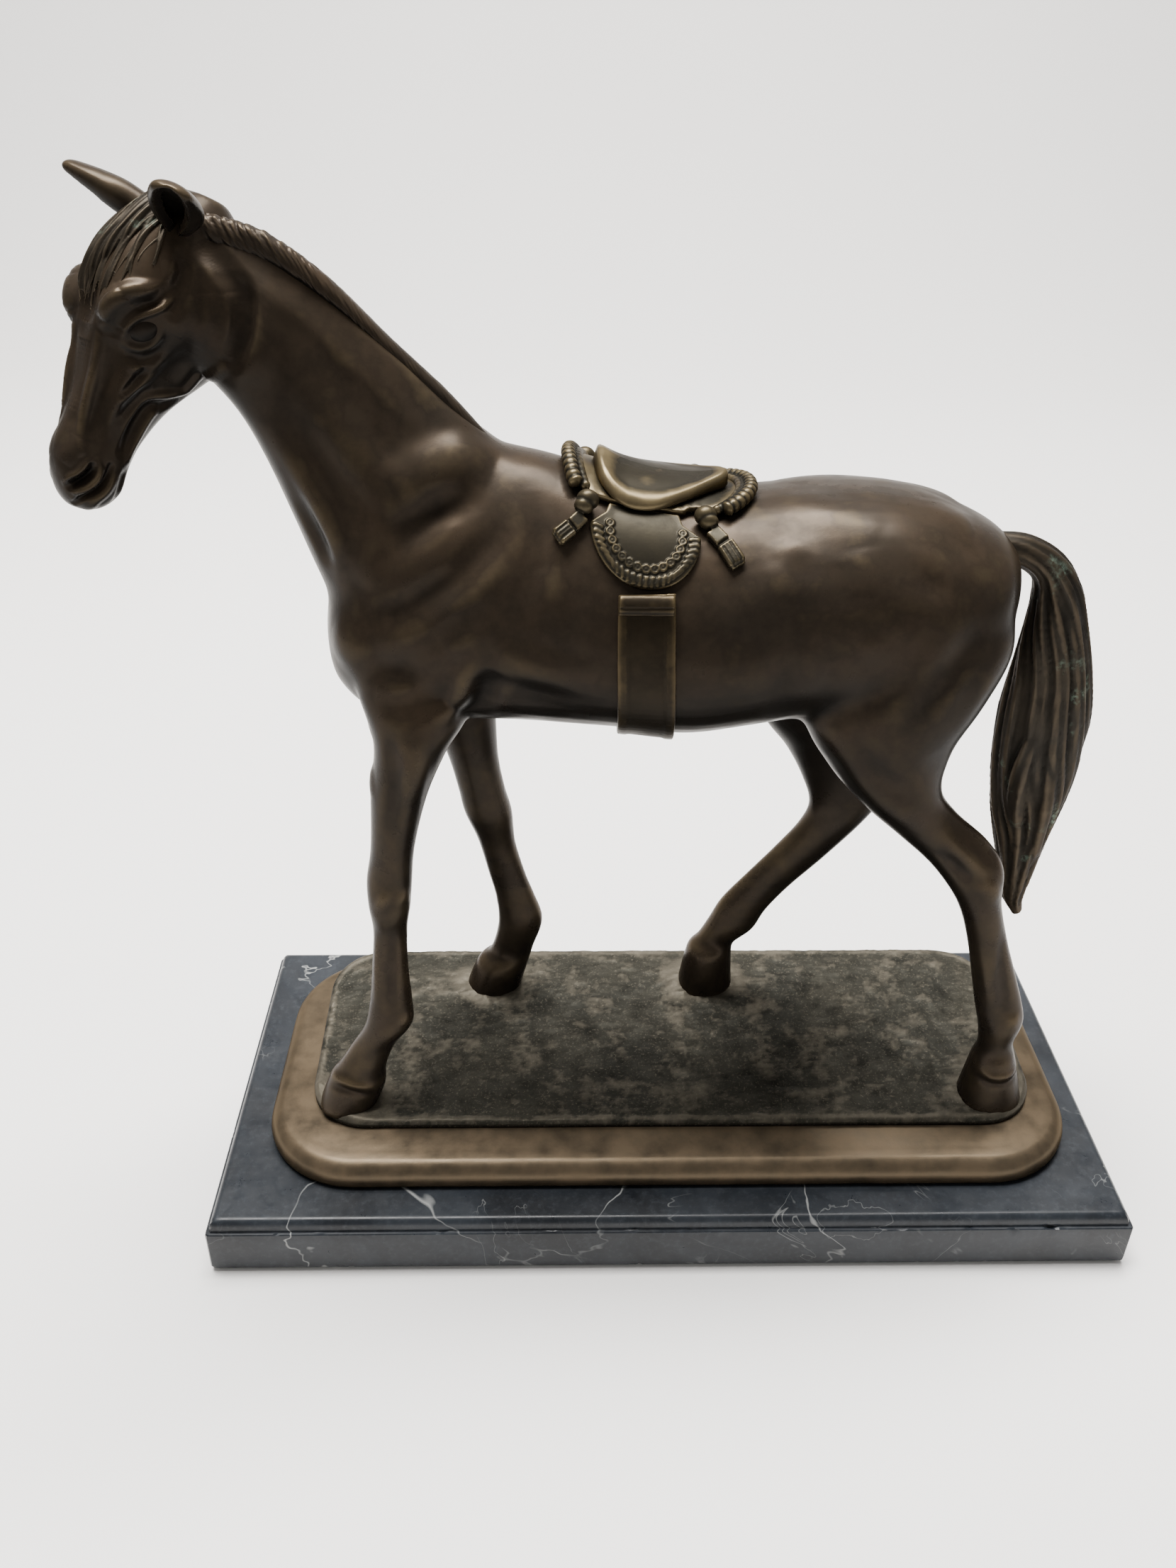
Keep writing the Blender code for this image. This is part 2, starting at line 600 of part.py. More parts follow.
def laid_plate(name, outline, middle, under, over, parts, side=-1, rings=4):
    """A plate that follows the trunk's skin between two lifts, filled from its middle outwards."""
    form = bmesh.new()
    layers = []
    for lift in (under, over):
        tip = form.verts.new(at(*middle, lift(*middle), side))
        layer = []
        for ring in range(1, rings + 1):
            share = ring / rings
            spots = [
                (middle[0] + (x - middle[0]) * share, middle[1] + (arc - middle[1]) * share)
                for x, arc in outline
            ]
            layer.append([form.verts.new(at(*spot, lift(*spot), side)) for spot in spots])
        layers.append(layer)
        count = len(outline)
        for k in range(count):
            n = (k + 1) % count
            form.faces.new((tip, layer[0][k], layer[0][n]))
            for low, high in zip(layer, layer[1:]):
                form.faces.new((low[k], high[k], high[n], low[n]))
    for k in range(count):
        n = (k + 1) % count
        form.faces.new((layers[0][-1][k], layers[1][-1][k], layers[1][-1][n], layers[0][-1][n]))
    return object_from(name, form, parts)


def level(lift):
    return lambda x, arc: lift


def seat_top(x, arc):
    """The seat swells to its pommel and cantle and thins to its lower edge."""
    front, rear = SEAT[0][0], SEAT[-1][0]
    share = (x - front) / (rear - front)
    rise = SEAT_POMMEL * (1 - share) ** 4 + SEAT_CANTLE * share**3
    inward = max(0.0, 1 - abs(arc) / SEAT_DROP)
    return SEAT_UNDER + SEAT_EDGE + (SEAT_SWELL + rise) * inward


def flap_outline():
    """A half round hung from a straight top, its upper corners cut back to clear the knobs."""
    x, arc = FLAP_MIDDLE
    turns = [math.radians(angle) for angle in range(0, 181, 12)]
    round_edge = [(x + FLAP_RADIUS * math.cos(t), arc + FLAP_RADIUS * math.sin(t)) for t in turns]
    left, right = x - FLAP_RADIUS, x + FLAP_RADIUS
    top = [(left + 4.5, arc - 4.5), (left + 5.5, FLAP_TOP), (x, FLAP_TOP)]
    top += [(right - 6.5, FLAP_TOP), (right - 5.5, arc - 4.0)]
    return round_edge + top


def roll(name, line, parts):
    """A fringe roll over the back, from the near side's end to the off side's."""
    over = list(reversed(line)) + [(x, -arc) for x, arc in line[1:]]
    smooth = smooth_rows(over, 3)
    lift = LIE + ROLL_RADIUS
    curve = bpy.data.curves.new(name, "CURVE")
    curve.dimensions = "3D"
    curve.bevel_depth = ROLL_RADIUS * MM
    curve.bevel_resolution = 2
    curve.use_fill_caps = True
    spline = curve.splines.new("POLY")
    spline.points.add(len(smooth) - 1)
    for point, (x, arc) in zip(spline.points, smooth):
        point.co = (*(at(x, arc, lift) * MM), 1)
    made = bpy.data.objects.new(name, curve)
    parts.objects.link(made)
    return made


def band(name, centres, half_width, under, over, parts, columns=4):
    """A strap along a run of (x, turn) centres, square across, lying on the skin."""
    form = bmesh.new()
    rows = []
    spots = [Vector(on_trunk(x, turn, 0)) for x, turn in centres]
    for k, (x, turn) in enumerate(centres):
        ahead = spots[min(k + 1, len(spots) - 1)] - spots[max(k - 1, 0)]
        up = (on_trunk(x, turn, 1) - spots[k]).normalized()
        across = ahead.cross(up).normalized()
        row = []
        for lift in (under, over):
            offsets = [half_width * (2 * j / columns - 1) for j in range(columns + 1)]
            if lift == over:
                offsets.reverse()
            for offset in offsets:
                row.append(form.verts.new(drop_on_trunk(spots[k] + across * offset, lift)))
        rows.append(row)
    around = len(rows[0])
    for low, high in zip(rows, rows[1:]):
        for k in range(around):
            n = (k + 1) % around
            form.faces.new((low[k], low[n], high[n], high[k]))
    for row in (rows[0], rows[-1]):
        for k in range(columns):
            form.faces.new((row[k], row[k + 1], row[around - 2 - k], row[around - 1 - k]))
    return object_from(name, form, parts)


def drop_on_trunk(spot, lift):
    """The point lifted off the skin nearest to a spot."""
    row = trunk_row(spot.x)
    turns = np.linspace(-math.pi, math.pi, 241)
    points = [section_point(row, turn) for turn in turns]
    gaps = [math.hypot(p.y - spot.y, p.z - spot.z) for p in points]
    return on_trunk(spot.x, float(turns[int(np.argmin(gaps))]), lift)


def ball(name, spot, radius, collection):
    form = bmesh.new()
    place = Matrix.Translation(spot)
    bmesh.ops.create_uvsphere(form, u_segments=10, v_segments=7, radius=radius, matrix=place)
    return object_from(name, form, collection)


def tie(name, knob, strap, side, parts, guides):
    """A double ball knob with a flat strap hanging from it."""
    centres = [(x, side * turn_at(x, arc)) for x, arc in smooth_rows(strap, 2)]
    piece = band(name, centres, STRAP_HALF_WIDTH, LIE, LIE + 2.4, parts, 2)
    for share, radius in ((0.45, KNOB_RADIUS * 0.86), (0.0, KNOB_RADIUS)):
        x = knob[0] + (strap[0][0] - knob[0]) * share
        arc = knob[1] + (strap[0][1] - knob[1]) * share
        spot = at(x, arc, LIE + radius + 0.15, side)
        combine(piece, ball(name + "_lobe", spot, radius, guides), "UNION")


def girth(parts):
    """One strap under the belly, from flap to flap, with a folded keeper at each top."""
    down = [(x, turn_at(x, arc)) for x, arc in smooth_rows(GIRTH_LINE, 3)]
    under = down[:-1] + [(GIRTH_LINE[-1][0], math.pi)]
    centres = [(x, -turn) for x, turn in under]
    centres += [(x, turn - math.tau) for x, turn in reversed(under[:-1])]
    strap_top = LIE + CLOTH - 0.3
    band("girth", centres, GIRTH_HALF_WIDTH, LIE, strap_top, parts)
    for word, side in (("near", -1), ("off", 1)):
        arcs = [GIRTH_TOP + KEEPER_DEPTH * share for share in (0.1, 0.35, 0.65, 1.0)]
        middles = [(GIRTH_LINE[0][0], side * turn_at(GIRTH_LINE[0][0], arc)) for arc in arcs]
        low, high = strap_top + 0.4, strap_top + 2.2
        band(word + "_girth_keeper", middles, GIRTH_HALF_WIDTH - 0.6, low, high, parts)


def saddlery(parts, guides):
    over = LIE + CLOTH
    top = (-11.0, 0.0)
    laid_plate("saddle_blanket", both_sides(BLANKET), top, level(LIE), level(over), parts)
    laid_plate("saddle_seat", both_sides(SEAT), top, level(SEAT_UNDER), seat_top, parts, rings=5)
    roll("front_fringe_roll", FRONT_ROLL, parts)
    roll("rear_fringe_roll", REAR_ROLL, parts)
    for word, side in (("near", -1), ("off", 1)):
        flap = word + "_saddle_flap"
        outline = flap_outline()
        laid_plate(flap, outline, FLAP_MIDDLE, level(LIE), level(over + 0.2), parts, side, 3)
        tie(word + "_front_tie", FRONT_KNOB, FRONT_STRAP, side, parts, guides)
        tie(word + "_rear_tie", REAR_KNOB, REAR_STRAP, side, parts, guides)
    girth(parts)


# ---------------------------------------------------------------- ground, skirt and plinth
def round_rectangle(x_low, x_high, y_low, y_high, radius, corner_steps=5):
    """The outline of a rectangle with round corners, anticlockwise."""
    outline = []
    corners = (
        (x_high - radius, y_low + radius, -90),
        (x_high - radius, y_high - radius, 0),
        (x_low + radius, y_high - radius, 90),
        (x_low + radius, y_low + radius, 180),
    )
    for x, y, start in corners:
        for k in range(corner_steps + 1):
            turn = math.radians(start + 90 * k / corner_steps)
            outline.append((x + radius * math.cos(turn), y + radius * math.sin(turn)))
    return outline


def ringed(name, rings, closed, collection):
    """A skin over rings of points: a closed loop of rings, or a run with flat ends."""
    form = bmesh.new()
    made = [[form.verts.new(spot) for spot in ring] for ring in rings]
    pairs = list(zip(made, made[1:]))
    if closed:
        pairs.append((made[-1], made[0]))
    else:
        form.faces.new(made[0])
        form.faces.new(made[-1])
    for low, high in pairs:
        for k in range(len(low)):
            n = (k + 1) % len(low)
            form.faces.new((low[k], low[n], high[n], high[k]))
    return object_from(name, form, collection)


def ground_height(x, y):
    """The walking surface: low at the front edge, and rising to the back."""
    share = (y - GROUND_FRONT) / (GROUND_BACK - GROUND_FRONT)
    share = min(1.0, max(0.0, share))
    return GROUND_LOW + GROUND_RISE * share * share * (3 - 2 * share)


def ground_rectangle(inset):
    half = GROUND_LENGTH / 2 - inset
    radius = max(GROUND_CORNER - inset, 2.0)
    return round_rectangle(
        GROUND_MIDDLE - half, GROUND_MIDDLE + half, GROUND_FRONT + inset, GROUND_BACK - inset, radius
    )


def ground_plate(parts, guides):
    """The ground casting, with a boss under each corner for its stud."""
    bottom = SKIRT_TOP + GAP
    rings = [[(x, y, bottom) for x, y in ground_rectangle(0)]]
    rings.append([(x, y, ground_height(x, y) - 0.8) for x, y in ground_rectangle(0)])
    for inset in (0.8, 10, 20, 32, 40, 45):
        rings.append([(x, y, ground_height(x, y)) for x, y in ground_rectangle(inset)])
    plate = ringed("ground_plate", rings, False, parts)
    for x, y in STUD_PLACES:
        boss = cylinder("boss", x, y, PLINTH_TOP + GAP, bottom + 1, STUD_DIAMETER + 8, guides)
        combine(plate, boss, "UNION")
        hole_top = STUD_TOP + GAP
        hole = cylinder("hole", x, y, PLINTH_TOP - 1, hole_top, STUD_DIAMETER + 0.6, guides)
        combine(plate, hole, "DIFFERENCE")
    return plate


def cylinder(name, x, y, low, high, diameter, collection, sides=12):
    form = bmesh.new()
    place = Matrix.Translation((x, y, (low + high) / 2))
    radius = diameter / 2
    bmesh.ops.create_cone(
        form, cap_ends=True, segments=sides, radius1=radius, radius2=radius,
        depth=high - low, matrix=place,
    )
    return object_from(name, form, collection)


def base_skirt(parts):
    """The hollow bronze rim under the ground: a rolled outer edge and a flat ledge."""
    foot = PLINTH_TOP + GAP
    profile = [(0.0, foot), (-0.6, foot + 3.0)]
    rise = SKIRT_TOP - 1.2 - (foot + 3.0)
    for angle in (25, 50, 75):
        turn = math.radians(angle)
        profile.append((7.0 * (1 - math.cos(turn)) - 0.6, foot + 3.0 + rise * math.sin(turn)))
    profile += [(11.0, SKIRT_TOP - 0.9), (SKIRT_LEDGE, SKIRT_TOP)]
    profile += [(SKIRT_LEDGE, SKIRT_TOP - SKIRT_WALL), (11.0, SKIRT_TOP - SKIRT_WALL - 1)]
    profile += [(SKIRT_WALL + 1.0, foot + 4.0), (SKIRT_WALL, foot)]
    rings = []
    for inset, z in profile:
        half_x, half_y = SKIRT_LENGTH / 2 - inset, SKIRT_DEPTH / 2 - inset
        outline = round_rectangle(
            SKIRT_MIDDLE - half_x, SKIRT_MIDDLE + half_x, -half_y, half_y, SKIRT_CORNER - inset
        )
        rings.append([(x, y, z) for x, y in outline])
    return ringed("base_skirt", rings, True, parts)


def marble_plinth(parts, guides):
    """A slab with a plain band and an ovolo up to its top, drilled from below for the studs."""
    bottom = FELT_THICKNESS + GAP
    profile = [(0.8, bottom), (0.0, bottom + 0.8), (0.0, PLINTH_BAND_TOP - 0.4)]
    profile += [(0.4, PLINTH_BAND_TOP), (1.4, PLINTH_BAND_TOP)]
    for angle in (0, 30, 60, 90):
        turn = math.radians(angle)
        reach = PLINTH_STEP - 1.4
        height = PLINTH_TOP - PLINTH_BAND_TOP
        inset = 1.4 + reach * (1 - math.cos(turn))
        profile.append((inset, PLINTH_BAND_TOP + 0.6 + (height - 0.6) * math.sin(turn)))
    rings = []
    for inset, z in profile:
        half_x, half_y = PLINTH_LENGTH / 2 - inset, PLINTH_DEPTH / 2 - inset
        rings.append([(sx * half_x, sy * half_y, z) for sx, sy in ((-1, -1), (1, -1), (1, 1), (-1, 1))])
    slab = ringed("marble_plinth", rings, False, parts)
    for x, y in STUD_PLACES:
        bore = cylinder("bore", x, y, 0, PLINTH_TOP + 1, STUD_DIAMETER + 1, guides)
        combine(slab, bore, "DIFFERENCE")
        recess = cylinder("recess", x, y, 0, RECESS_TOP, RECESS_DIAMETER, guides, 20)
        combine(slab, recess, "DIFFERENCE")
    return slab


def fasteners(parts, guides):
    """A stud, washer and nut at each place, in the recesses under the marble."""
    washer_top = RECESS_TOP - GAP
    nut_top = washer_top - WASHER_THICKNESS - GAP
    for number, (x, y) in enumerate(STUD_PLACES, 1):
        foot = nut_top - NUT_HEIGHT - 1.0
        cylinder(f"fixing_stud_{number}", x, y, foot, STUD_TOP, STUD_DIAMETER, parts, 12)
        clearance = STUD_DIAMETER + 0.6
        for name, top, height, across, sides in (
            (f"washer_{number}", washer_top, WASHER_THICKNESS, WASHER_DIAMETER, 16),
            (f"nut_{number}", nut_top, NUT_HEIGHT, NUT_ACROSS_CORNERS, 6),
        ):
            piece = cylinder(name, x, y, top - height, top, across, parts, sides)
            hole = cylinder("hole", x, y, top - height - 1, top + 1, clearance, guides, 12)
            combine(piece, hole, "DIFFERENCE")


def base(parts, guides):
    half_x, half_y = PLINTH_LENGTH / 2 - FELT_INSET, PLINTH_DEPTH / 2 - FELT_INSET
    box("felt_underlay", (-half_x, -half_y, 0), (half_x, half_y, FELT_THICKNESS), parts)
    marble_plinth(parts, guides)
    base_skirt(parts)
    ground_plate(parts, guides)
    fasteners(parts, guides)
    for leg in ("near_foreleg", "off_foreleg", "near_hindleg", "off_hindleg"):
        trimmed(bpy.data.objects[leg], ["ground_plate"], guides)


# ---------------------------------------------------------------- finishes
FINISHES = {
    "horse_bronze": ((0.09, 0.055, 0.035), 0.38, 0.9),
    "saddle_bronze": ((0.17, 0.12, 0.065), 0.36, 0.9),
    "base_bronze": ((0.16, 0.12, 0.08), 0.5, 0.85),
    "marble": ((0.03, 0.035, 0.042), 0.3, 0.0),
    "felt": ((0.03, 0.08, 0.05), 0.95, 0.0),
    "steel": ((0.55, 0.55, 0.55), 0.35, 1.0),
}
FINISH_WORDS = (
    ("felt", "felt"), ("marble", "marble"), ("stud", "steel"), ("washer", "steel"), ("nut", "steel"),
    ("skirt", "base_bronze"), ("ground", "base_bronze"), ("saddle", "saddle_bronze"),
    ("roll", "saddle_bronze"), ("tie", "saddle_bronze"), ("girth", "saddle_bronze"),
)


def finish(parts):
    """Give each piece a material of its own, in its finish."""
    for piece in parts.objects:
        kind = next((kind for word, kind in FINISH_WORDS if word in piece.name), "horse_bronze")
        piece.data.materials.clear()
        piece.data.materials.append(material(f"{kind}_{piece.name}", *FINISHES[kind]))


def main():
    clear_scene()
    parts = new_collection("bronze_horse_statue")
    guides = new_collection("cutters")
    horse_sections(parts, guides)
    tail(parts, guides)
    ears(parts, guides)
    mane_and_forelock(parts, guides)
    saddlery(parts, guides)
    base(parts, guides)
    finish(parts)
    for guide in guides.objects:
        guide.hide_render = True
        guide.display_type = "WIRE"


main()
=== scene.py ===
"""The bronze walking horse on its ground, skirt and marble plinth: surfaces, finishes, light and camera.

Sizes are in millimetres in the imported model's frame, and become metres when a mesh is made. -X is
the way the horse walks, -Y its near side, and +Z up.
"""
import json
import math

import bmesh
import bpy
import numpy as np
from mathutils import Matrix, Vector, noise
from mathutils.bvhtree import BVHTree

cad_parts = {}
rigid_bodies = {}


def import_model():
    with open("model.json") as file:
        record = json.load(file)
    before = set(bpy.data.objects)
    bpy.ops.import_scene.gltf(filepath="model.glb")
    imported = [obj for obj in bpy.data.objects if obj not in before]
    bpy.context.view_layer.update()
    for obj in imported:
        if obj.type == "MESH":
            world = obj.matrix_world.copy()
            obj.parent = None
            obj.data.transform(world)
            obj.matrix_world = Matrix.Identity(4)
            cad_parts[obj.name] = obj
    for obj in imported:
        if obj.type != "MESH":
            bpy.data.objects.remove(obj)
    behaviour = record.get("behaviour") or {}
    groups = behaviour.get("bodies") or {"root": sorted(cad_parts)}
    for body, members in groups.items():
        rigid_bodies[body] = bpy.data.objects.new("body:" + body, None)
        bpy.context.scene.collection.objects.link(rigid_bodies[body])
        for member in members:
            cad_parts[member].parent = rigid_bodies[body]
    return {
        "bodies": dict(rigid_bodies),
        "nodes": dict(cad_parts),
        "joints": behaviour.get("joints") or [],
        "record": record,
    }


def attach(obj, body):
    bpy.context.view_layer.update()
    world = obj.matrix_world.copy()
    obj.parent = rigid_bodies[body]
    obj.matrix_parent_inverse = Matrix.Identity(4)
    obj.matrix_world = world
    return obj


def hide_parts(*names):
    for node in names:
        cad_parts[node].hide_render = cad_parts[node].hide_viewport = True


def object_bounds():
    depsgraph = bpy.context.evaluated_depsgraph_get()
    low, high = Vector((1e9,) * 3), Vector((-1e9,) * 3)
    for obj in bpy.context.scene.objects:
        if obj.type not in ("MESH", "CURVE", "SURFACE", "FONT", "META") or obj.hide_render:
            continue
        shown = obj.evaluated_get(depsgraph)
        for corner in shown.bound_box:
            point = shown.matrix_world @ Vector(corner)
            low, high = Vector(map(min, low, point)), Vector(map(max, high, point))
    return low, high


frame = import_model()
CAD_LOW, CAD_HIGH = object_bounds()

MM = 0.001
NEAR, OFF = -1, 1
BOTH = (NEAR, OFF)

# ---------------------------------------------------------------- the horse's sections
# (xa, za) and (xb, zb) are two points of the side profile; then y, half-width, fullness, lean.
TRUNK = [
    (-114.5, 224, -114.0, 207, 3, 9, 2.0, 0.0),
    (-111.0, 236, -111.0, 200, 3, 20, 2.0, 0.0),
    (-104, 247, -104, 193, 3, 28, 2.1, 0.0),
    (-92, 258, -95, 190, 3, 32, 2.1, 0.1),
    (-72, 271.5, -78, 189, 3, 35, 2.1, 0.2),
    (-58, 275.6, -63, 189, 3, 36.8, 2.1, 0.2),
    (-45, 273.6, -50, 189, 3, 38, 2.1, 0.2),
    (-32, 269.4, -35, 188, 3, 39.5, 2.1, 0.16),
    (-20, 265.5, -22, 187, 3, 40.5, 2.1, 0.12),
    (0, 262, 0, 185.5, 3, 42, 2.15, 0.1),
    (20, 262, 20, 188, 3, 42, 2.15, 0.06),
    (38, 263.7, 38, 190, 3, 41, 2.15, 0.0),
    (55, 264.3, 55, 190, 3, 40.5, 2.2, 0.0),
    (72, 262, 72, 190, 3, 39, 2.2, 0.0),
    (88, 256, 86, 196, 3, 34, 2.2, 0.0),
    (98, 251, 96, 206, 3, 27, 2.1, 0.0),
    (105, 244, 104, 220, 3, 13, 2.0, 0.0),
]
NECK = [
    (-147, 331.5, -150, 306, 0, 9, 2.0, 0.1),
    (-137, 335.4, -143, 298, 1, 12, 2.0, 0.2),
    (-122, 332, -135, 288, 2, 13, 2.1, 0.25),
    (-107, 321, -129, 275, 3, 14.5, 2.1, 0.3),
    (-89, 305.5, -122.5, 257, 3, 17.5, 2.1, 0.3),
    (-72, 289.5, -117, 241, 3, 21.5, 2.1, 0.28),
    (-57, 276, -111.5, 226, 3, 27, 2.1, 0.2),
    (-48, 268, -108, 208, 3, 31, 2.1, 0.1),
    (-45, 250, -98, 200, 3, 28, 2.0, 0.0),
]
NEAR_FORE = [
    (-108, 228, -66, 226, -14, 12, 2.0, 0.0),
    (-104, 206, -68, 200, -19, 15, 2.0, 0.0),
    (-99.5, 190, -76, 186, -23, 13, 2.0, 0.0),
    (-101.5, 170, -83, 170, -25, 10.3, 2.0, 0.0),
    (-103, 150, -88.2, 150, -26, 8.3, 2.0, 0.0),
    (-105.2, 137, -90, 135, -26.5, 7.6, 2.2, 0.0),
    (-105.2, 127, -91, 126, -27, 7.6, 2.2, 0.0),
    (-104.5, 116, -92.6, 116, -27, 6.0, 2.0, 0.0),
    (-106, 100, -93, 100, -28, 5.2, 2.0, 0.0),
    (-108.2, 83, -92.6, 84, -28, 5.6, 2.0, 0.0),
    (-111, 72, -93, 75, -28, 6.8, 2.0, 0.0),
    (-116.5, 63, -99.5, 66, -28.5, 6.0, 2.0, 0.0),
    (-121.5, 55, -103.8, 55, -29, 7.2, 2.0, 0.0),
    (-125, 50, -104.5, 47, -29, 8.8, 2.0, 0.0),
    (-130, 36.5, -108.5, 36.5, -29, 10.6, 2.2, -0.1),
]
OFF_FORE = [
    (-106, 226, -62, 222, 20, 12, 2.0, 0.0),
    (-102, 204, -63, 200, 24, 15, 2.0, 0.0),
    (-94, 188, -63, 184, 27, 13, 2.0, 0.0),
    (-86, 168, -63, 168, 29, 10.3, 2.0, 0.0),
    (-81, 152, -62.5, 151, 30, 8.3, 2.0, 0.0),
    (-78, 139, -60.5, 138, 30, 7.6, 2.2, 0.0),
    (-76, 128, -58, 127, 30.5, 7.6, 2.2, 0.0),
    (-71.5, 115, -57, 113, 31, 6.0, 2.0, 0.0),
    (-67.8, 99, -53, 97, 31, 5.2, 2.0, 0.0),
    (-65.2, 87, -50, 88, 31, 5.6, 2.0, 0.0),
    (-64.6, 74, -46.8, 76, 31, 6.8, 2.0, 0.0),
    (-68, 61, -50.5, 63, 31, 6.0, 2.0, 0.0),
    (-73.5, 55, -53, 54, 31, 8.4, 2.0, 0.0),
    (-79, 40, -57, 40, 31, 10.4, 2.2, -0.1),
]
NEAR_HIND = [
    (50, 242, 97, 240, -10, 18, 2.0, 0.0),
    (44, 216, 102.5, 222, -15, 21, 2.1, 0.0),
    (38, 196, 95.5, 204, -19, 20, 2.1, 0.0),
    (47, 180, 87, 188, -22, 15.5, 2.0, 0.0),
    (59, 167, 84.5, 173, -25, 11.8, 2.0, 0.0),
    (72, 155.5, 91, 163, -26, 9.2, 2.0, 0.0),
    (84, 144.5, 103, 152.5, -27, 7.8, 2.0, 0.0),
    (93.2, 133, 109.5, 143, -28, 7.6, 2.1, 0.0),
    (98.5, 123, 111.2, 129, -28, 7.4, 2.1, 0.0),
    (102.5, 111, 116, 113, -28.5, 6.2, 2.0, 0.0),
    (106.2, 96, 121.5, 98, -29, 5.4, 2.0, 0.0),
    (109.5, 83, 126.5, 84, -29, 5.9, 2.0, 0.0),
    (112.5, 73, 128.3, 76, -29, 7.0, 2.0, 0.0),
    (114, 63, 126.5, 66, -29, 6.4, 2.0, 0.0),
    (112.6, 56, 129, 57, -29, 8.8, 2.0, 0.0),
    (110.2, 36.5, 134.5, 36.5, -29, 11, 2.2, -0.1),
]
OFF_HIND = [
    (48, 240, 98, 238, 16, 18, 2.0, 0.0),
    (38, 212, 102, 218, 21, 21, 2.1, 0.0),
    (28, 190, 92, 196, 25, 19, 2.1, 0.0),
    (33, 171, 80, 179, 28, 14.5, 2.0, 0.0),
    (43, 157, 78, 163, 30, 11.2, 2.0, 0.0),
    (50.5, 143, 81, 150, 31, 9, 2.0, 0.0),
    (54.5, 131, 84, 138, 31, 7.8, 2.1, 0.0),
    (51.5, 121, 77, 125, 31, 7.4, 2.1, 0.0),
    (43, 109.5, 64, 108, 31, 6.2, 2.0, 0.0),
    (33, 97, 51, 93, 31, 5.4, 2.0, 0.0),
    (24, 85, 42.5, 81.5, 31, 6.0, 2.0, 0.0),
    (19.5, 75, 38, 72.5, 31, 6.9, 2.0, 0.0),
    (15.5, 67, 31, 66, 31, 6.4, 2.0, 0.0),
    (11.5, 60.5, 29.8, 60, 31, 8.6, 2.0, 0.0),
    (8.5, 41, 31, 41, 31, 10.8, 2.2, -0.1),
]
TAIL = [
    (98, 249.5, 100, 239, 3, 5.0, 2.0, 0.0),
    (108.5, 248.4, 107, 237.5, 3, 6.0, 2.0, 0.0),
    (119, 242.9, 112, 233, 3, 7, 2.0, 0.0),
    (127.5, 232.5, 113, 225, 3, 8, 2.0, 0.0),
    (133, 217, 112.3, 213, 3, 9.5, 2.0, 0.0),
    (137.8, 200, 111, 200, 3, 10.5, 2.0, 0.0),
    (140.6, 184, 109.6, 185, 3, 11, 2.0, 0.0),
    (140.5, 167, 110.3, 167, 3, 10.5, 2.0, 0.0),
    (138.7, 151, 113, 149, 3, 9.5, 2.0, 0.0),
    (136, 136, 116.5, 136, 3, 8.2, 2.0, 0.0),
    (133.5, 120, 121.2, 119, 3, 6.4, 2.0, 0.0),
    (132, 108, 124.5, 107.5, 3, 4.6, 2.0, 0.0),
    (133, 101, 130, 99, 3, 1.6, 2.0, 0.0),
]
SHEATH = [
    (13, 193, 13, 188, 3, 3, 2.0, 0.0),
    (21, 193, 21, 184.5, 3, 5, 2.0, 0.0),
    (31, 193, 31, 182, 3, 5.5, 2.0, 0.0),
    (38, 193, 38, 184, 3, 4.5, 2.0, 0.0),
    (42, 193, 42, 188, 3, 2, 2.0, 0.0),
]
# The head stands in its own frame: x down the face from the poll, z out of the face, y to the
# near side. It is set on the neck turned to the near side and nodded down.
HEAD = [
    (-8, -13, -8, -25, 0, 7, 2.0, 0.0),
    (-2, -6, -2, -33, 0, 11.5, 2.1, 0.0),
    (8, 1.0, 6, -41, 0, 14.2, 2.2, 0.0),
    (19, 4.5, 16, -46, 0, 17.0, 2.3, -0.05),
    (28, 5.0, 27, -44, 0, 16.8, 2.3, -0.15),
    (38, 3.4, 39, -35.5, 0, 12.2, 2.3, -0.08),
    (50, 1.8, 51, -27, 0, 9.6, 2.2, -0.1),
    (61, 1.0, 62, -22, 0, 8.4, 2.2, 0.0),
    (70, 1.4, 70, -20, 0, 8.9, 2.3, 0.1),
    (77.5, -0.4, 77.5, -20, 0, 8.8, 2.3, 0.05),
    (83, -4.0, 82.5, -17, 0, 7, 2.2, 0.0),
    (85.5, -7.5, 85, -13.5, 0, 3.5, 2.0, 0.0),
]
HEAD_PLACE = (-154.5, -1.0, 345.0)
HEAD_TURN = 42.0  # degrees towards the near side
HEAD_NOD = 61.0  # degrees of the face below level
# An ear lies along x of its own frame, and its cup opens towards -z.
EAR = [
    (-4, 3.6, -4, -3.6, 0, 3.6, 2.0, 0.0),
    (2, 4.8, 2, -4.4, 0, 5.2, 2.0, 0.0),
    (8, 5.2, 8, -4.4, 0, 6.8, 2.0, 0.0),
    (14, 4.6, 14, -3.6, 0, 6.5, 2.0, 0.0),
    (20, 3.6, 20, -2.8, 0, 5.2, 2.0, 0.0),
    (24, 2.6, 24, -2.0, 0, 3.8, 2.0, 0.0),
    (26.2, 0.9, 26.2, -0.5, 0, 1.4, 2.0, 0.0),
]
EAR_ROOT = (1.8, 10.3, -8.4)  # in the head's frame, near side
EAR_AIM = (-0.144, 0.783, 0.606)
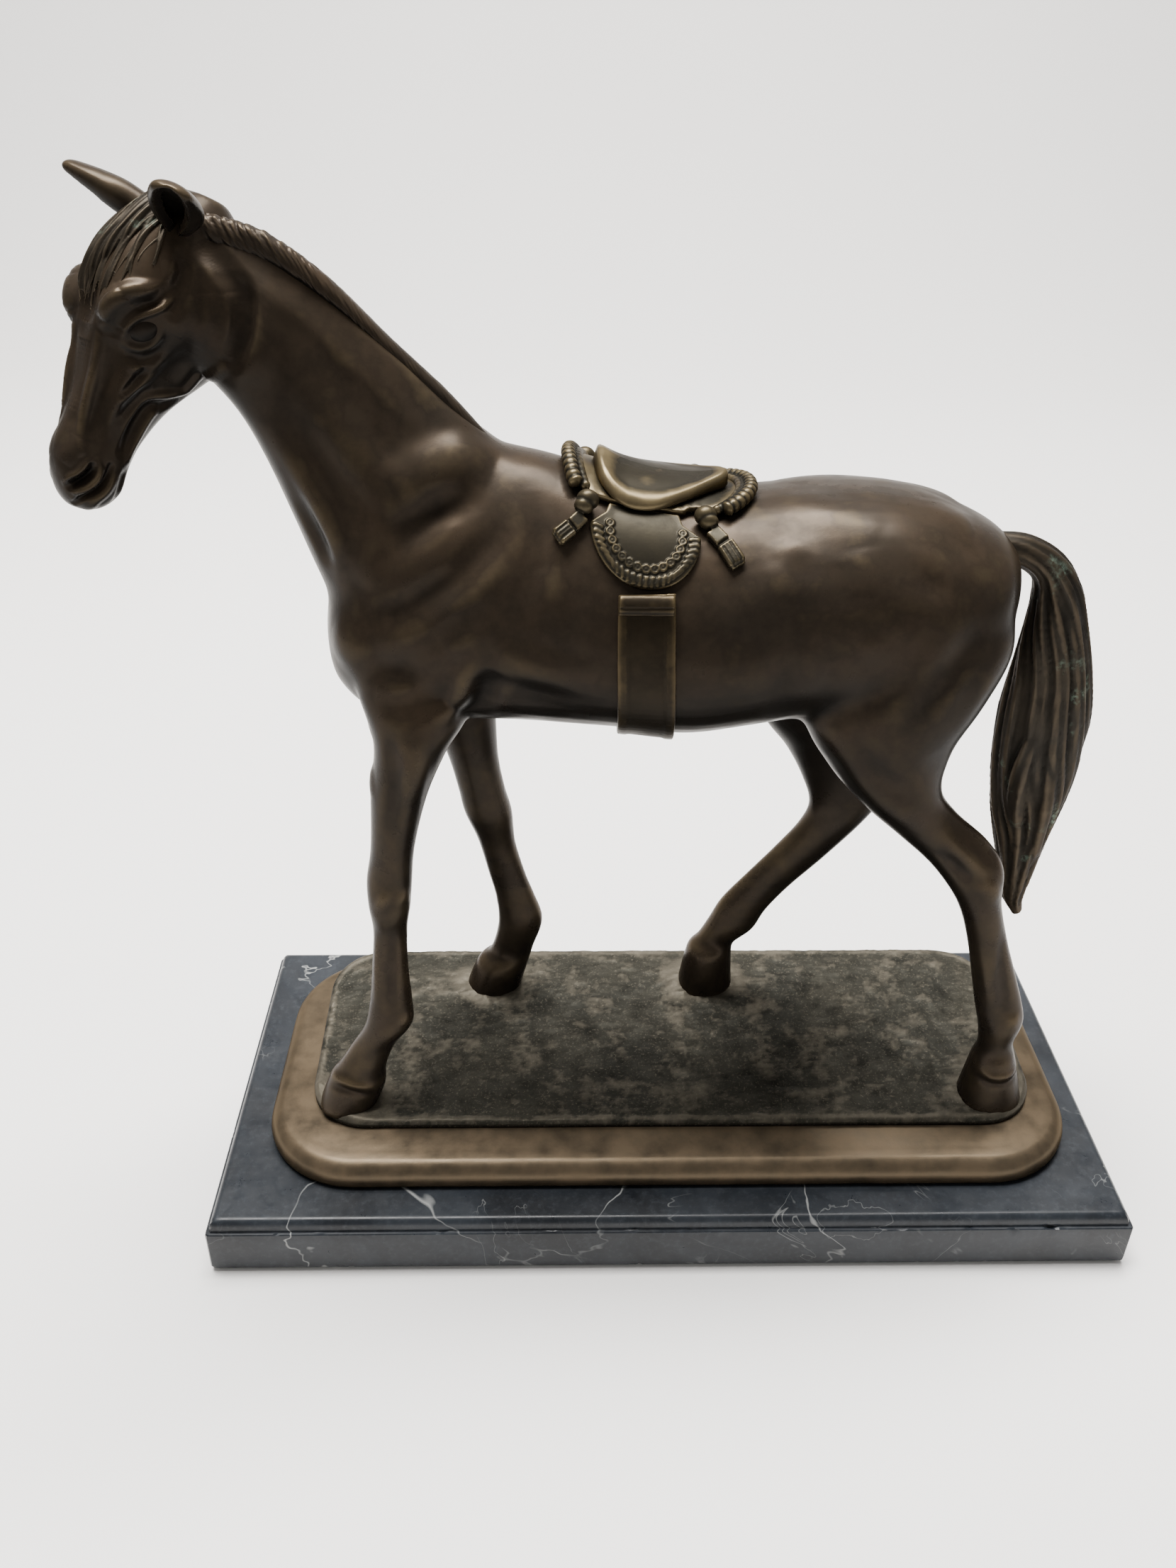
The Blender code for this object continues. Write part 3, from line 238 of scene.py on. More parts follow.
# The mane is a low upright roll along the crest, and the forelock falls on the brow.
MANE = [
    (-141, 336.5, -140, 330, 1.0, 2.0, 2.0, 0.0),
    (-134, 339.8, -132, 331, 1.5, 3.6, 2.2, 0.1),
    (-121, 335.4, -117, 325, 2.0, 3.8, 2.2, 0.1),
    (-106, 324.4, -101, 313, 3.0, 3.8, 2.2, 0.1),
    (-89, 307.4, -84, 297, 3.0, 3.4, 2.2, 0.1),
    (-72, 291.4, -68, 282, 3.0, 3.0, 2.2, 0.1),
    (-61, 281.2, -58, 272, 3.0, 2.4, 2.2, 0.1),
    (-55, 278.2, -54, 272, 3.0, 1.4, 2.0, 0.0),
]
FORELOCK = [
    (-6, -5.5, -6, -14, 0, 3.5, 2.2, 0.0),
    (0, -0.8, 1, -10, 0, 6.5, 2.3, 0.0),
    (8, 3.8, 9, -6, -0.8, 7.6, 2.3, 0.0),
    (16, 7.2, 17, -4, -1.8, 6.6, 2.3, 0.0),
    (23, 8.0, 24, -3, -2.6, 4.4, 2.3, 0.0),
    (28.5, 7.2, 29, -1, -3.0, 1.6, 2.0, 0.0),
]

NECK_SEAM = ((-46, 0, 275), (-0.604, 0, 0.797))
HEAD_SEAM = ((-140, 0, 320), (-0.95, -0.28, 0.1))
LEG_SEAM = 181.5


# Each remeshed piece's voxel in millimetres, and the passes that ease it.
VOXELS = {
    "skin": (0.8, 20), "ear": (0.35, 4), "tail": (0.55, 2), "forelock": (0.25, 1),
    "fringe": (0.38, 1), "flap": (0.27, 1), "tie": (0.3, 2), "girth": (0.45, 1),
    "keeper": (0.35, 1),
}
# How a piece's rub is measured: passes, and the millimetres that stand fully proud.
RUBS = {
    "skin": (26, 0.5), "eye": (14, 0.22), "ear": (16, 0.2), "tail": (10, 0.16), "mane": (8, 0.12),
    "forelock": (8, 0.12), "seat": (30, 0.3), "blanket": (14, 0.15), "fringe": (10, 0.14),
    "flap": (10, 0.11), "tie": (14, 0.18), "girth": (12, 0.16), "keeper": (12, 0.16),
    "skirt": (26, 0.2),
}


# ---------------------------------------------------------------- meshes
def linked(name, data):
    """A new object in the scene, holding some data."""
    made = bpy.data.objects.new(name, data)
    bpy.context.scene.collection.objects.link(made)
    return made


def formed(name, form):
    """A new object holding a bmesh, which is freed."""
    mesh = bpy.data.meshes.new(name)
    form.to_mesh(mesh)
    form.free()
    return linked(name, mesh)


def new_object(name, points, faces):
    """An object in metres from points in millimetres, its faces turned outwards."""
    mesh = bpy.data.meshes.new(name)
    mesh.from_pydata((np.asarray(points, float) * MM).tolist(), [], faces)
    form = bmesh.new()
    form.from_mesh(mesh)
    bmesh.ops.recalc_face_normals(form, faces=form.faces)
    form.to_mesh(mesh)
    form.free()
    return linked(name, mesh)


def drop(thing):
    bpy.data.objects.remove(thing, do_unlink=True)


def bake(target):
    """Apply an object's modifiers to its mesh."""
    graph = bpy.context.evaluated_depsgraph_get()
    mesh = bpy.data.meshes.new_from_object(target.evaluated_get(graph))
    target.modifiers.clear()
    target.data = mesh


def join(name, objects):
    """One object holding the shells of several, which are removed."""
    form = bmesh.new()
    for one in objects:
        form.from_mesh(one.data)
    made = formed(name, form)
    for one in objects:
        drop(one)
    return made


def melt(target, voxel, passes):
    """Fuse a pile of shells into one skin, and ease its creases."""
    remesh = target.modifiers.new("melt", "REMESH")
    remesh.mode = "VOXEL"
    remesh.voxel_size = voxel * MM
    if passes:
        ease = target.modifiers.new("ease", "SMOOTH")
        ease.factor = 0.5
        ease.iterations = passes
    bake(target)
    return target


def squared(share, full):
    """Sines or cosines drawn towards a square: a fullness of 2 leaves a circle's."""
    return np.sign(share) * np.abs(share) ** (2 / full)


def unit(vectors):
    return vectors / np.linalg.norm(vectors, axis=-1, keepdims=True)


def lengths(points):
    """How far along a row each of its points lies."""
    return np.concatenate([[0], np.cumsum(np.linalg.norm(np.diff(points, axis=0), axis=1))])


def frame_at(along, across, out, spot):
    """A frame at a spot, from its three axes."""
    made = Matrix((along, across, out)).transposed().to_4x4()
    made.translation = spot
    return made


def smooth_rows(rows, steps):
    """Catmull-Rom rows through the given rows, with steps rows to each interval."""
    table = np.array(rows, float)
    padded = np.vstack([2 * table[0] - table[1], table, 2 * table[-1] - table[-2]])
    out = []
    for k in range(len(table) - 1):
        p0, p1, p2, p3 = padded[k : k + 4]
        for j in range(steps):
            t = j / steps
            bend = (2 * p0 - 5 * p1 + 4 * p2 - p3) * t * t + (3 * p1 - p0 - 3 * p2 + p3) * t**3
            out.append(0.5 * (2 * p1 + (p2 - p0) * t + bend))
    out.append(table[-1])
    return np.array(out)


def sections(rows, steps, around):
    """Rings of points, one to each smoothed section: an array (rings, around, 3)."""
    turn = np.linspace(0, math.tau, around, endpoint=False)
    cosine, sine = np.cos(turn)[None], np.sin(turn)[None]
    xa, za, xb, zb, y, half, full, lean = smooth_rows(rows, steps).T[:, :, None]
    along, across = squared(cosine, full), squared(sine, full)
    x = (xa + xb) / 2 + along * (xa - xb) / 2
    z = (za + zb) / 2 + along * (za - zb) / 2
    return np.stack([x, y + across * half * (1 - lean * along), z], -1)


def skin(name, rings, looped=False):
    """A closed skin over rings of points: a loop of rings, or a run drawn to a point at each end."""
    rings = np.asarray(rings, float)
    count, around = rings.shape[:2]
    points = rings.reshape(-1, 3)
    faces = []
    for r in range(count if looped else count - 1):
        low, high = r * around, ((r + 1) % count) * around
        for k in range(around):
            n = (k + 1) % around
            faces.append((low + k, low + n, high + n, high + k))
    if not looped:
        tips = rings[[0, -1]].mean(1)
        points = np.vstack([points, tips])
        for tip, start in ((len(points) - 2, 0), (len(points) - 1, (count - 1) * around)):
            faces += [(start + k, start + (k + 1) % around, tip) for k in range(around)]
    return new_object(name, points, faces)


def moved(rings, frame):
    """Points of a local frame set in the model's frame."""
    turn = np.array(frame.to_3x3())
    return np.asarray(rings) @ turn.T + np.array(frame.translation)


def head_frame():
    """The head's own frame, set at the poll."""
    turn, nod = math.radians(HEAD_TURN), math.radians(HEAD_NOD)
    level = Vector((-math.cos(turn), -math.sin(turn), 0))
    down = Vector((0, 0, -1))
    along = level * math.cos(nod) + down * math.sin(nod)
    out = level * math.sin(nod) - down * math.cos(nod)
    return frame_at(along, out.cross(along), out, Vector(HEAD_PLACE))


HEAD_AT = head_frame()


def vertices(target):
    """An object's vertices in millimetres."""
    flat = np.empty(len(target.data.vertices) * 3)
    target.data.vertices.foreach_get("co", flat)
    return flat.reshape(-1, 3) / MM


def move_vertices(target, points):
    target.data.vertices.foreach_set("co", (points * MM).ravel())
    target.data.update()


def normals(target):
    flat = np.empty(len(target.data.vertices) * 3, np.float32)
    target.data.vertex_normals.foreach_get("vector", flat)
    return flat.reshape(-1, 3).astype(float)


def edges(target):
    flat = np.empty(len(target.data.edges) * 2, np.int32)
    target.data.edges.foreach_get("vertices", flat)
    return flat.reshape(-1, 2)


def eased(values, ends, passes, share=0.6):
    """Values of the vertices, each drawn towards its neighbours' mean, passes times."""
    values = np.array(values, float)
    count = np.maximum(np.bincount(ends.ravel(), minlength=len(values)), 1)
    for _ in range(passes):
        for k in range(values.shape[1]):
            total = np.bincount(ends[:, 0], values[ends[:, 1], k], len(values))
            total += np.bincount(ends[:, 1], values[ends[:, 0], k], len(values))
            values[:, k] += share * (total / count - values[:, k])
    return values


def tree_of(target):
    return BVHTree.FromPolygons(vertices(target).tolist(), [list(p.vertices) for p in target.data.polygons])


class Clay:
    """A skin that strokes are pressed into or built up on, then written back all at once."""

    def __init__(self, target):
        self.target = target
        self.points = vertices(target)
        self.lie = normals(target)
        self.tree = tree_of(target)
        self.shift = np.zeros_like(self.points)

    def press(self, spots, facings, fades, depth, width):
        """Move the skin by depth along its normal, within width of a row of spots on it."""
        low, high = spots.min(0) - width, spots.max(0) + width
        near = np.nonzero(np.all((self.points > low) & (self.points < high), axis=1))[0]
        if not len(near):
            return
        for part in np.array_split(near, max(1, len(near) * len(spots) // 4000000)):
            gaps = ((self.points[part, None] - spots[None]) ** 2).sum(-1)
            best = gaps.argmin(1)
            fall = np.clip(1 - gaps[np.arange(len(part)), best] / width**2, 0, 1) ** 2
            towards = np.clip((self.lie[part] * facings[best]).sum(1) * 2.5, 0, 1)
            self.shift[part] += (fall * towards * fades[best] * depth)[:, None] * self.lie[part]

    def line(self, depth, width, points, side):
        """A stroke through (x, z) points, cast onto the skin from one side."""
        spots, facings = [], []
        for a, b in smooth_rows(points, 8):
            spot, facing, _, _ = self.tree.ray_cast(Vector((a, side * 150, b)), Vector((0, -side, 0)))
            if spot is not None:
                spots.append(spot)
                facings.append(facing)
        if not spots:
            return
        fades = np.sin(np.linspace(0.12, math.pi - 0.12, len(spots))) ** 0.9
        self.press(np.array(spots), np.array(facings), fades, depth, width)

    def trace(self, depth, width, points, frame, fade=0.5):
        """A stroke through points of a frame, drawn to the skin's nearest places."""
        spots, facings = [], []
        for point in smooth_rows(points, 8):
            spot, facing, _, _ = self.tree.find_nearest(frame @ Vector(point))
            spots.append(spot)
            facings.append(facing)
        fades = np.sin(np.linspace(0.12, math.pi - 0.12, len(spots))) ** fade
        self.press(np.array(spots), np.array(facings), fades, depth, width)

    def write(self):
        move_vertices(self.target, self.points + self.shift)


def rub(target, passes, span):
    """Store how far each vertex stands proud (1) or lies in a groove (-1), for its finish."""
    points, ends = vertices(target), edges(target)
    height = ((points - eased(points, ends, passes)) * normals(target)).sum(1)
    height = eased(height[:, None], ends, 3)[:, 0]
    kept = target.data.attributes.new("rub", "FLOAT", "POINT")
    kept.data.foreach_set("value", np.tanh(height / span).astype(np.float32))


def shade_smooth(target):
    target.data.polygons.foreach_set("use_smooth", [True] * len(target.data.polygons))
    target.data.update()


def place(piece, finish, slot, *replaced):
    """Give a piece its finish, fix it to the root body, and hide the imported parts of the frame that it
    stands for.
    """
    piece.data.materials.clear()
    piece.data.materials.append(finish)
    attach(piece, "root")
    if replaced:
        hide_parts(*replaced)


def finished(piece, finish, slot, rubbed, *replaced):
    """Shade a piece smoothly, measure its rub, and place it."""
    shade_smooth(piece)
    rub(piece, *rubbed)
    place(piece, finish, slot, *replaced)


# ---------------------------------------------------------------- the horse's skin
# A stroke is (depth, width, profile points): positive builds up and negative presses in.
TRUNK_STROKES = [
    # shoulder and upper arm
    (-1.3, 6.3, [(-91, 253), (-86, 257), (-80, 260), (-75, 264), (-69, 267)]),
    (1.0, 6.8, [(-99, 237), (-90, 243), (-80, 250), (-70, 257), (-63, 263)]),
    (-1.8, 5.9, [(-95, 231), (-88, 234), (-82, 237), (-75, 242), (-69, 246), (-62, 254), (-57, 261)]),
    (1.3, 7.9, [(-97, 224), (-88, 229), (-80, 234), (-70, 241), (-62, 247), (-55, 252)]),
    (-0.8, 6.3, [(-84, 225), (-77, 231), (-70, 235), (-63, 240)]),
    (0.8, 7.4, [(-74, 224), (-67, 229), (-60, 235)]),
    (0.8, 6.3, [(-93, 262), (-94, 255), (-97, 247), (-99, 241)]),
    (2.9, 9.5, [(-88, 268), (-79, 273), (-70, 275), (-60, 272)]),
    (-0.8, 6.3, [(-88, 259), (-78, 264), (-66, 264)]),
    (1.0, 8.4, [(-110, 225), (-105, 221), (-98, 215)]),
    (-0.7, 5.2, [(-98, 217), (-90, 217), (-82, 219)]),
    (0.7, 6.3, [(-97, 211), (-90, 212), (-84, 211)]),
    (-0.8, 5.2, [(-95, 206), (-86, 206), (-78, 208)]),
    # elbow and the fold behind it
    (1.5, 4.5, [(-64, 222), (-68, 216), (-70, 209), (-74, 204), (-80, 201)]),
    (-2.4, 6.0, [(-59, 219), (-62, 213), (-64, 206), (-68, 200)]),
    (1.3, 7.0, [(-62, 222), (-54, 222), (-46, 220), (-38, 218), (-30, 216)]),
    (-0.9, 8.0, [(-58, 212), (-48, 209), (-36, 206)]),
    (-0.8, 5.0, [(-48, 268), (-46, 258), (-47, 248), (-49, 238)]),
    (0.7, 7.0, [(-44, 250), (-43, 243), (-42, 236)]),
    # barrel and flank
    (0.3, 8.8, [(3, 237), (14, 240), (24, 246), (30, 249)]),
    (0.6, 10.0, [(-4, 217), (6, 220), (16, 223), (27, 225)]),
    (-0.5, 11.2, [(0, 229), (14, 231), (28, 234), (38, 236)]),
    (0.5, 6.2, [(24, 251), (28, 253), (33, 255)]),
    (0.5, 6.2, [(20, 246), (25, 247), (30, 248)]),
    (-0.4, 6.2, [(22, 249), (30, 251), (36, 252)]),
    (0.4, 5.6, [(34, 248), (38, 246), (42, 244)]),
    (0.6, 7.5, [(48, 255), (49.5, 250), (49.5, 243)]),
    (-0.6, 8.8, [(42, 252), (43, 246), (44, 238)]),
    # loin, croup and buttock
    (0.6, 10.0, [(17, 259), (26, 262), (36, 262), (47, 259), (54, 257)]),
    (-0.5, 7.5, [(20, 255), (30, 258), (40, 257), (50, 254)]),
    (0.7, 10.0, [(66, 265), (73, 262), (80, 258), (86, 255)]),
    (0.4, 5.6, [(60, 252), (68, 251), (76, 249), (88, 247)]),
    (-0.6, 7.5, [(58, 249), (64, 247), (70, 245), (75, 244)]),
    (0.5, 6.2, [(57, 247), (62, 244), (68, 241), (71, 237), (70, 232)]),
    (-0.3, 10.0, [(54, 230), (56, 224), (55, 216)]),
    (0.8, 6.9, [(79, 236), (76, 229), (71, 220), (65, 213), (60, 206), (57, 200)]),
    (-0.7, 6.2, [(84, 236), (82, 228), (77, 219), (71, 211), (66, 204)]),
    (-0.4, 5.0, [(90, 226), (86, 216), (82, 208), (79, 200)]),
    (0.3, 5.6, [(94, 222), (89, 211), (85, 202)]),
    (0.7, 6.2, [(33, 230), (34, 222), (34, 213), (36, 205), (39, 199)]),
    (-0.7, 8.8, [(27, 226), (28, 216), (30, 207), (32, 200)]),
    (0.4, 5.0, [(48, 228), (53, 227), (58, 223)]),
]
NECK_STROKES = [
    (-1.3, 5.5, [(-137, 333), (-128, 331), (-120, 326), (-112, 320), (-104, 313), (-94, 303),
        (-84, 293), (-75, 285)]),
    (1.0, 6.5, [(-128, 326), (-118, 321), (-110, 317), (-101, 309), (-92, 300), (-84, 292), (-77, 286)]),
    (1.3, 7.0, [(-112, 300), (-105, 289), (-99, 280), (-93, 273), (-88, 267), (-84, 262)]),
    (-1.2, 7.0, [(-122, 296), (-115, 284), (-109, 274), (-103, 264), (-99, 256)]),
    (1.0, 5.0, [(-121, 284), (-115, 273), (-110, 263), (-107, 254), (-106, 247)]),
    (-1.3, 4.0, [(-118, 266), (-114, 257), (-111, 250), (-110, 244)]),
    (-2.2, 6.5, [(-128, 327), (-129, 320), (-131, 312), (-135, 305), (-140, 299)]),
    (1.2, 6.0, [(-124, 320), (-123, 311), (-125, 303), (-127, 297)]),
]
NEAR_LEG_STROKES = [
    (-0.8, 3.5, [(-93, 198), (-92, 186), (-93, 172), (-95, 160)]),
    (0.8, 4.0, [(-100, 196), (-100, 184), (-101, 170)]),
    (0.9, 5.0, [(-86, 196), (-85, 184), (-88, 170)]),
    (0.9, 4.5, [(-101, 134), (-97, 132)]),
    (0.7, 3.5, [(-93, 136), (-92, 130)]),
    (-0.7, 2.2, [(-97, 120), (-98, 106), (-99, 92), (-99, 84)]),
    (0.5, 2.2, [(-103, 116), (-104, 100), (-105, 86)]),
    (0.6, 3.0, [(-95, 82), (-96, 76)]),
    (0.6, 1.9, [(-125.5, 50.5), (-120, 52.5), (-113, 51), (-106, 48.5)]),
    (-0.5, 1.6, [(-126, 48), (-120, 50), (-113, 48.6), (-106, 46)]),
    (0.4, 7.2, [(68, 196), (72, 186), (78, 176), (86, 165)]),
    (-0.5, 5.4, [(76, 192), (79, 182), (86, 172), (94, 162)]),
    (0.6, 5.4, [(40, 200), (47, 193), (53, 185), (59, 178), (66, 171), (74, 164)]),
    (-0.5, 6.0, [(50, 196), (57, 187), (64, 179), (72, 171)]),
    (0.8, 3.0, [(86, 160), (92, 153), (98, 147), (104, 142)]),
    (-0.8, 2.6, [(84, 154), (91, 147), (97, 140)]),
    (0.9, 3.5, [(100, 141), (104, 138), (107, 132)]),
    (-0.7, 2.4, [(112, 118), (114, 104), (117, 92), (119, 84)]),
    (0.5, 2.2, [(106, 112), (110, 98), (113, 86)]),
    (0.7, 3.0, [(122, 83), (123, 76)]),
    (0.6, 1.9, [(112.5, 56), (119, 54.5), (126, 55), (130, 57)]),
    (-0.5, 1.6, [(112, 53.5), (119, 52), (126, 52.5), (131, 54.5)]),
]
OFF_LEG_STROKES = [
    (-0.8, 3.5, [(-77, 190), (-75, 176), (-73, 162)]),
    (0.8, 4.0, [(-86, 186), (-82, 172), (-79, 158)]),
    (0.9, 4.5, [(-73, 135), (-70, 132)]),
    (-0.7, 2.2, [(-63, 118), (-60, 106), (-57, 94)]),
    (0.6, 1.9, [(-74, 55.5), (-68, 57.5), (-61, 56.5), (-54, 53)]),
    (-0.5, 1.6, [(-75, 53), (-68, 55), (-61, 54), (-54, 50.5)]),
    (1.0, 5.0, [(46, 182), (50, 170), (56, 158), (62, 148)]),
    (-0.9, 4.0, [(58, 176), (62, 164), (68, 152), (74, 142)]),
    (-0.7, 2.2, [(58, 117), (49, 105), (40, 94), (35, 86)]),
    (0.6, 1.9, [(12, 61), (18, 62), (25, 61), (30, 58.5)]),
    (-0.5, 1.6, [(11, 58), (18, 59.5), (25, 58.5), (30, 56)]),
]
# The face, in the head's frame: x down it from the poll, y to the near side, z out of it.
FACE_STROKES = [
    # brow and lids
    (1.7, 7.0, [(34, 9.2, 1.0), (30, 10.6, 1.4), (26, 12.6, 0.2)]),
    (1.5, 3.4, [(33.9, 8.1, 1.8), (31.2, 8.3, 2.6), (28.3, 9.5, 2.5), (25.7, 11.2, 1.4),
        (23.6, 13, -0.6), (22.2, 14.4, -3), (21.4, 15.6, -6)]),
    (-1.4, 2.8, [(35.4, 9.5, -0.4), (32.8, 10.7, -0.2), (30.1, 12.5, -1.0), (27.4, 14.5, -2.6),
        (25, 15.6, -4.8), (22.5, 16.1, -6.6), (20.3, 16.1, -8.1), (17.1, 15.8, -9.4)]),
    (0.75, 1.8, [(37.6, 10.6, -3.2), (34.6, 11.6, -2.4), (31.4, 13.1, -2.5), (28.9, 14.7, -3.8),
        (26.9, 16, -5.8), (24.9, 16.6, -7.6), (22.5, 16.8, -9.2), (20.4, 16.6, -9.7)]),
    (0.65, 1.7, [(37.6, 10.7, -3.6), (37.8, 11.5, -5.8), (37.2, 12.2, -8.0), (35.3, 13.3, -9.8),
        (32.9, 14.6, -10.4), (30.4, 15.5, -9.7)]),
    (-0.5, 2.0, [(40, 10.4, -4.4), (40.2, 11, -6.9), (39.4, 12, -9.9), (36.2, 13.4, -12.3),
        (32.6, 14.9, -12.5)]),
    (0.5, 2.2, [(42.4, 10.4, -6.0), (42.4, 11, -9), (40.8, 12, -12), (37.5, 13.2, -14.6)]),
    # nose and the hollow beside it
    (0.9, 2.3, [(38.5, 6.4, 1.4), (44.3, 6.2, 0.4), (48.9, 5.9, -0.2), (54.4, 5.5, -0.7),
        (59.7, 5.4, -1.3), (65, 6.1, -2), (69, 7.1, -3.1)]),
    (-1.7, 4.2, [(37.5, 8.6, -0.6), (43.7, 8.5, -2.2), (49, 8, -3.2), (54.5, 7.4, -3.6),
        (60, 7, -4.0), (65.4, 7.3, -4.6)]),
    (-0.5, 7.0, [(40, 0, 2.6), (50, 0, 1.6), (60, 0, 1.0)]),
    # cheek crest and jaw
    (0.9, 4.0, [(41.5, 11.6, -9.5), (43.4, 10.6, -8.1), (46.9, 9.9, -7.6), (50.8, 9.2, -7),
        (54.4, 8.7, -6.5)]),
    (0.7, 2.6, [(39.3, 12, -14.4), (42.5, 11.1, -13.2), (46, 10.5, -11.8), (50, 9.7, -9.9),
        (53.2, 9.1, -8.7), (57.4, 8.4, -7.6)]),
    (-0.9, 2.0, [(41.5, 11.3, -11.2), (46, 10.2, -9.8), (50.4, 9.4, -8.4)]),
    (-0.8, 3.4, [(56, 8.4, -9.6), (52.2, 9.1, -11.6), (48.8, 9.8, -13.8), (47, 10, -16.5)]),
    (1.1, 2.6, [(33, 19, -29.6), (38.5, 13, -29), (43.5, 8.7, -26.6), (45.8, 8.8, -22.9),
        (47.6, 9.3, -18.6), (49.2, 9.6, -15.6)]),
    (-1.5, 3.0, [(46.5, 7.6, -27), (49.6, 8.8, -22.4), (51.4, 9.2, -17.6), (56, 8.4, -15.6),
        (60.4, 8, -14.8), (65.6, 8.1, -14.0)]),
    (0.7, 2.2, [(50.8, 8, -20.1), (54.9, 7.5, -18.7), (60.4, 7, -17.7), (65, 7.1, -16.9),
        (70.1, 7.5, -16.4)]),
    (1.3, 5.0, [(14.8, 21.2, -21.6), (18.1, 22.4, -23.4), (23, 22.5, -24.6), (27.8, 21.6, -25.6),
        (32, 19.9, -27)]),
    (-2.0, 5.0, [(3.5, 14, -14), (6.2, 16.6, -17), (9.5, 20.4, -21), (13, 22.8, -24.6),
        (18.5, 23.5, -27.4), (24.2, 23.5, -29), (30, 21.8, -30.4)]),
    (0.7, 9.0, [(18, 17, -15.5), (24.1, 18, -18.3), (31, 15.4, -18)]),
    (-0.7, 5.0, [(33, 14.4, -20.5), (38, 12.4, -19.5), (43, 10.6, -18.6)]),
    (-1.3, 3.4, [(11, 13.6, -10.6), (13.8, 15, -10.9), (17.2, 16.2, -11), (21, 16.9, -11),
        (25, 16.8, -11.2)]),
    (0.7, 3.0, [(12.4, 13.6, -7.3), (15, 14.9, -8.2), (18, 15.9, -8.6)]),
    (-0.9, 5.5, [(26, 0, 4.8), (31, 0, 4.7), (36, 0, 3.6)]),
    # muzzle
    (0.8, 5.0, [(65.7, 6.1, -1.9), (70.2, 5.8, -1.2), (74.2, 4.7, -0.8)]),
    (0.8, 1.7, [(79.2, 4.6, -2.0), (77.2, 5.9, -2.5), (75.1, 7.3, -3.6), (72.5, 8.1, -4.5),
        (70.4, 8.2, -5.3)]),
    (-2.6, 1.9, [(79.6, 5.5, -3.6), (78.2, 6.6, -4.2), (76.4, 7.8, -5.5), (74.3, 8.5, -6.6),
        (72.4, 8.6, -6.8)]),
    (1.0, 1.8, [(70.6, 8.6, -7.4), (72.6, 8.9, -8.6), (75, 8.9, -8.8), (77.4, 8.5, -7.9),
        (79.4, 7.6, -6.4), (80.6, 6.4, -5.0)]),
    (-1.8, 1.4, [(82.8, 3.5, -7.5), (81.6, 6.3, -7.4), (80, 7.8, -8.6), (77.5, 8.6, -10.3),
        (74.2, 8.9, -11.3), (70.6, 8.9, -11.4)]),
    (0.8, 2.2, [(82.4, 3.5, -10.8), (80.6, 6.6, -11.0), (77.6, 8.1, -12.6), (73.6, 8.6, -13.6)]),
    (-0.9, 2.2, [(78.8, 5.4, -16.6), (75, 7.0, -17), (70, 7.7, -17)]),
]
OFF_FACE_STROKES = [
    (5.2, 8.0, [(37, 10.5, -1), (32, 12.6, -1.5), (26, 14.2, -3), (21, 15.4, -4.5)]),
    (2.6, 6.5, [(36, 9.6, -1.5), (44, 8.4, -2.2), (52, 7.6, -3), (60, 7.2, -3.6)]),
]
EYE_AT = (32.8, 13.7, -6.3)
EYE_AXIS = (-6.5, 4.5, -5.2)  # from its front corner to its rear corner
EYE_SIZE = (4.8, 3.5, 3.0)  # along that axis, across it, and out of the face
EYE_PROUD = 1.1
HEAD_REACH = ((-12, -30, -52), (92, 30, 14))  # the part of the skin that is refined


INSIDE = 0.1  # clear of the frame's box
MUSCLE_EASE = 4
NECK_BASE = ((-135, -60, 205), (-30, 60, 300), 70)  # a box's corners, and the passes that ease it
LOIN = ((15, -60, 180), (115, 60, 262), 40)
MUSCLE_DEPTH = 1.15
MUSCLE_WIDTH = 1.25


def soften(target, low, high, passes, margin=10.0):
    """Ease the skin inside a box, fading out towards its sides."""
    points = vertices(target)
    low, high = np.array(low, float), np.array(high, float)
    inside = np.clip(np.minimum(points - low, high - points).min(1) / margin, 0, 1)[:, None]
    move_vertices(target, points + (eased(points, edges(target), passes) - points) * inside)


def refine_head(target):
    """Split the head's faces, for its finer modelling."""
    low, high = (Vector(corner) for corner in HEAD_REACH)
    into = HEAD_AT.inverted()
    form = bmesh.new()
    form.from_mesh(target.data)
    chosen = set()
    for face in form.faces:
        spot = into @ (face.calc_center_median() / MM)
        if all(low[k] < spot[k] < high[k] for k in range(3)):
            chosen.update(face.edges)
    bmesh.ops.subdivide_edges(form, edges=list(chosen), cuts=1, use_grid_fill=True)
    form.to_mesh(target.data)
    form.free()
    points = vertices(target)
    local = (points - np.array(HEAD_AT.translation)) @ np.array(HEAD_AT.to_3x3())
    inside = np.all((local > np.array(low)) & (local < np.array(high)), axis=1)[:, None]
    move_vertices(target, np.where(inside, eased(points, edges(target), 3), points))


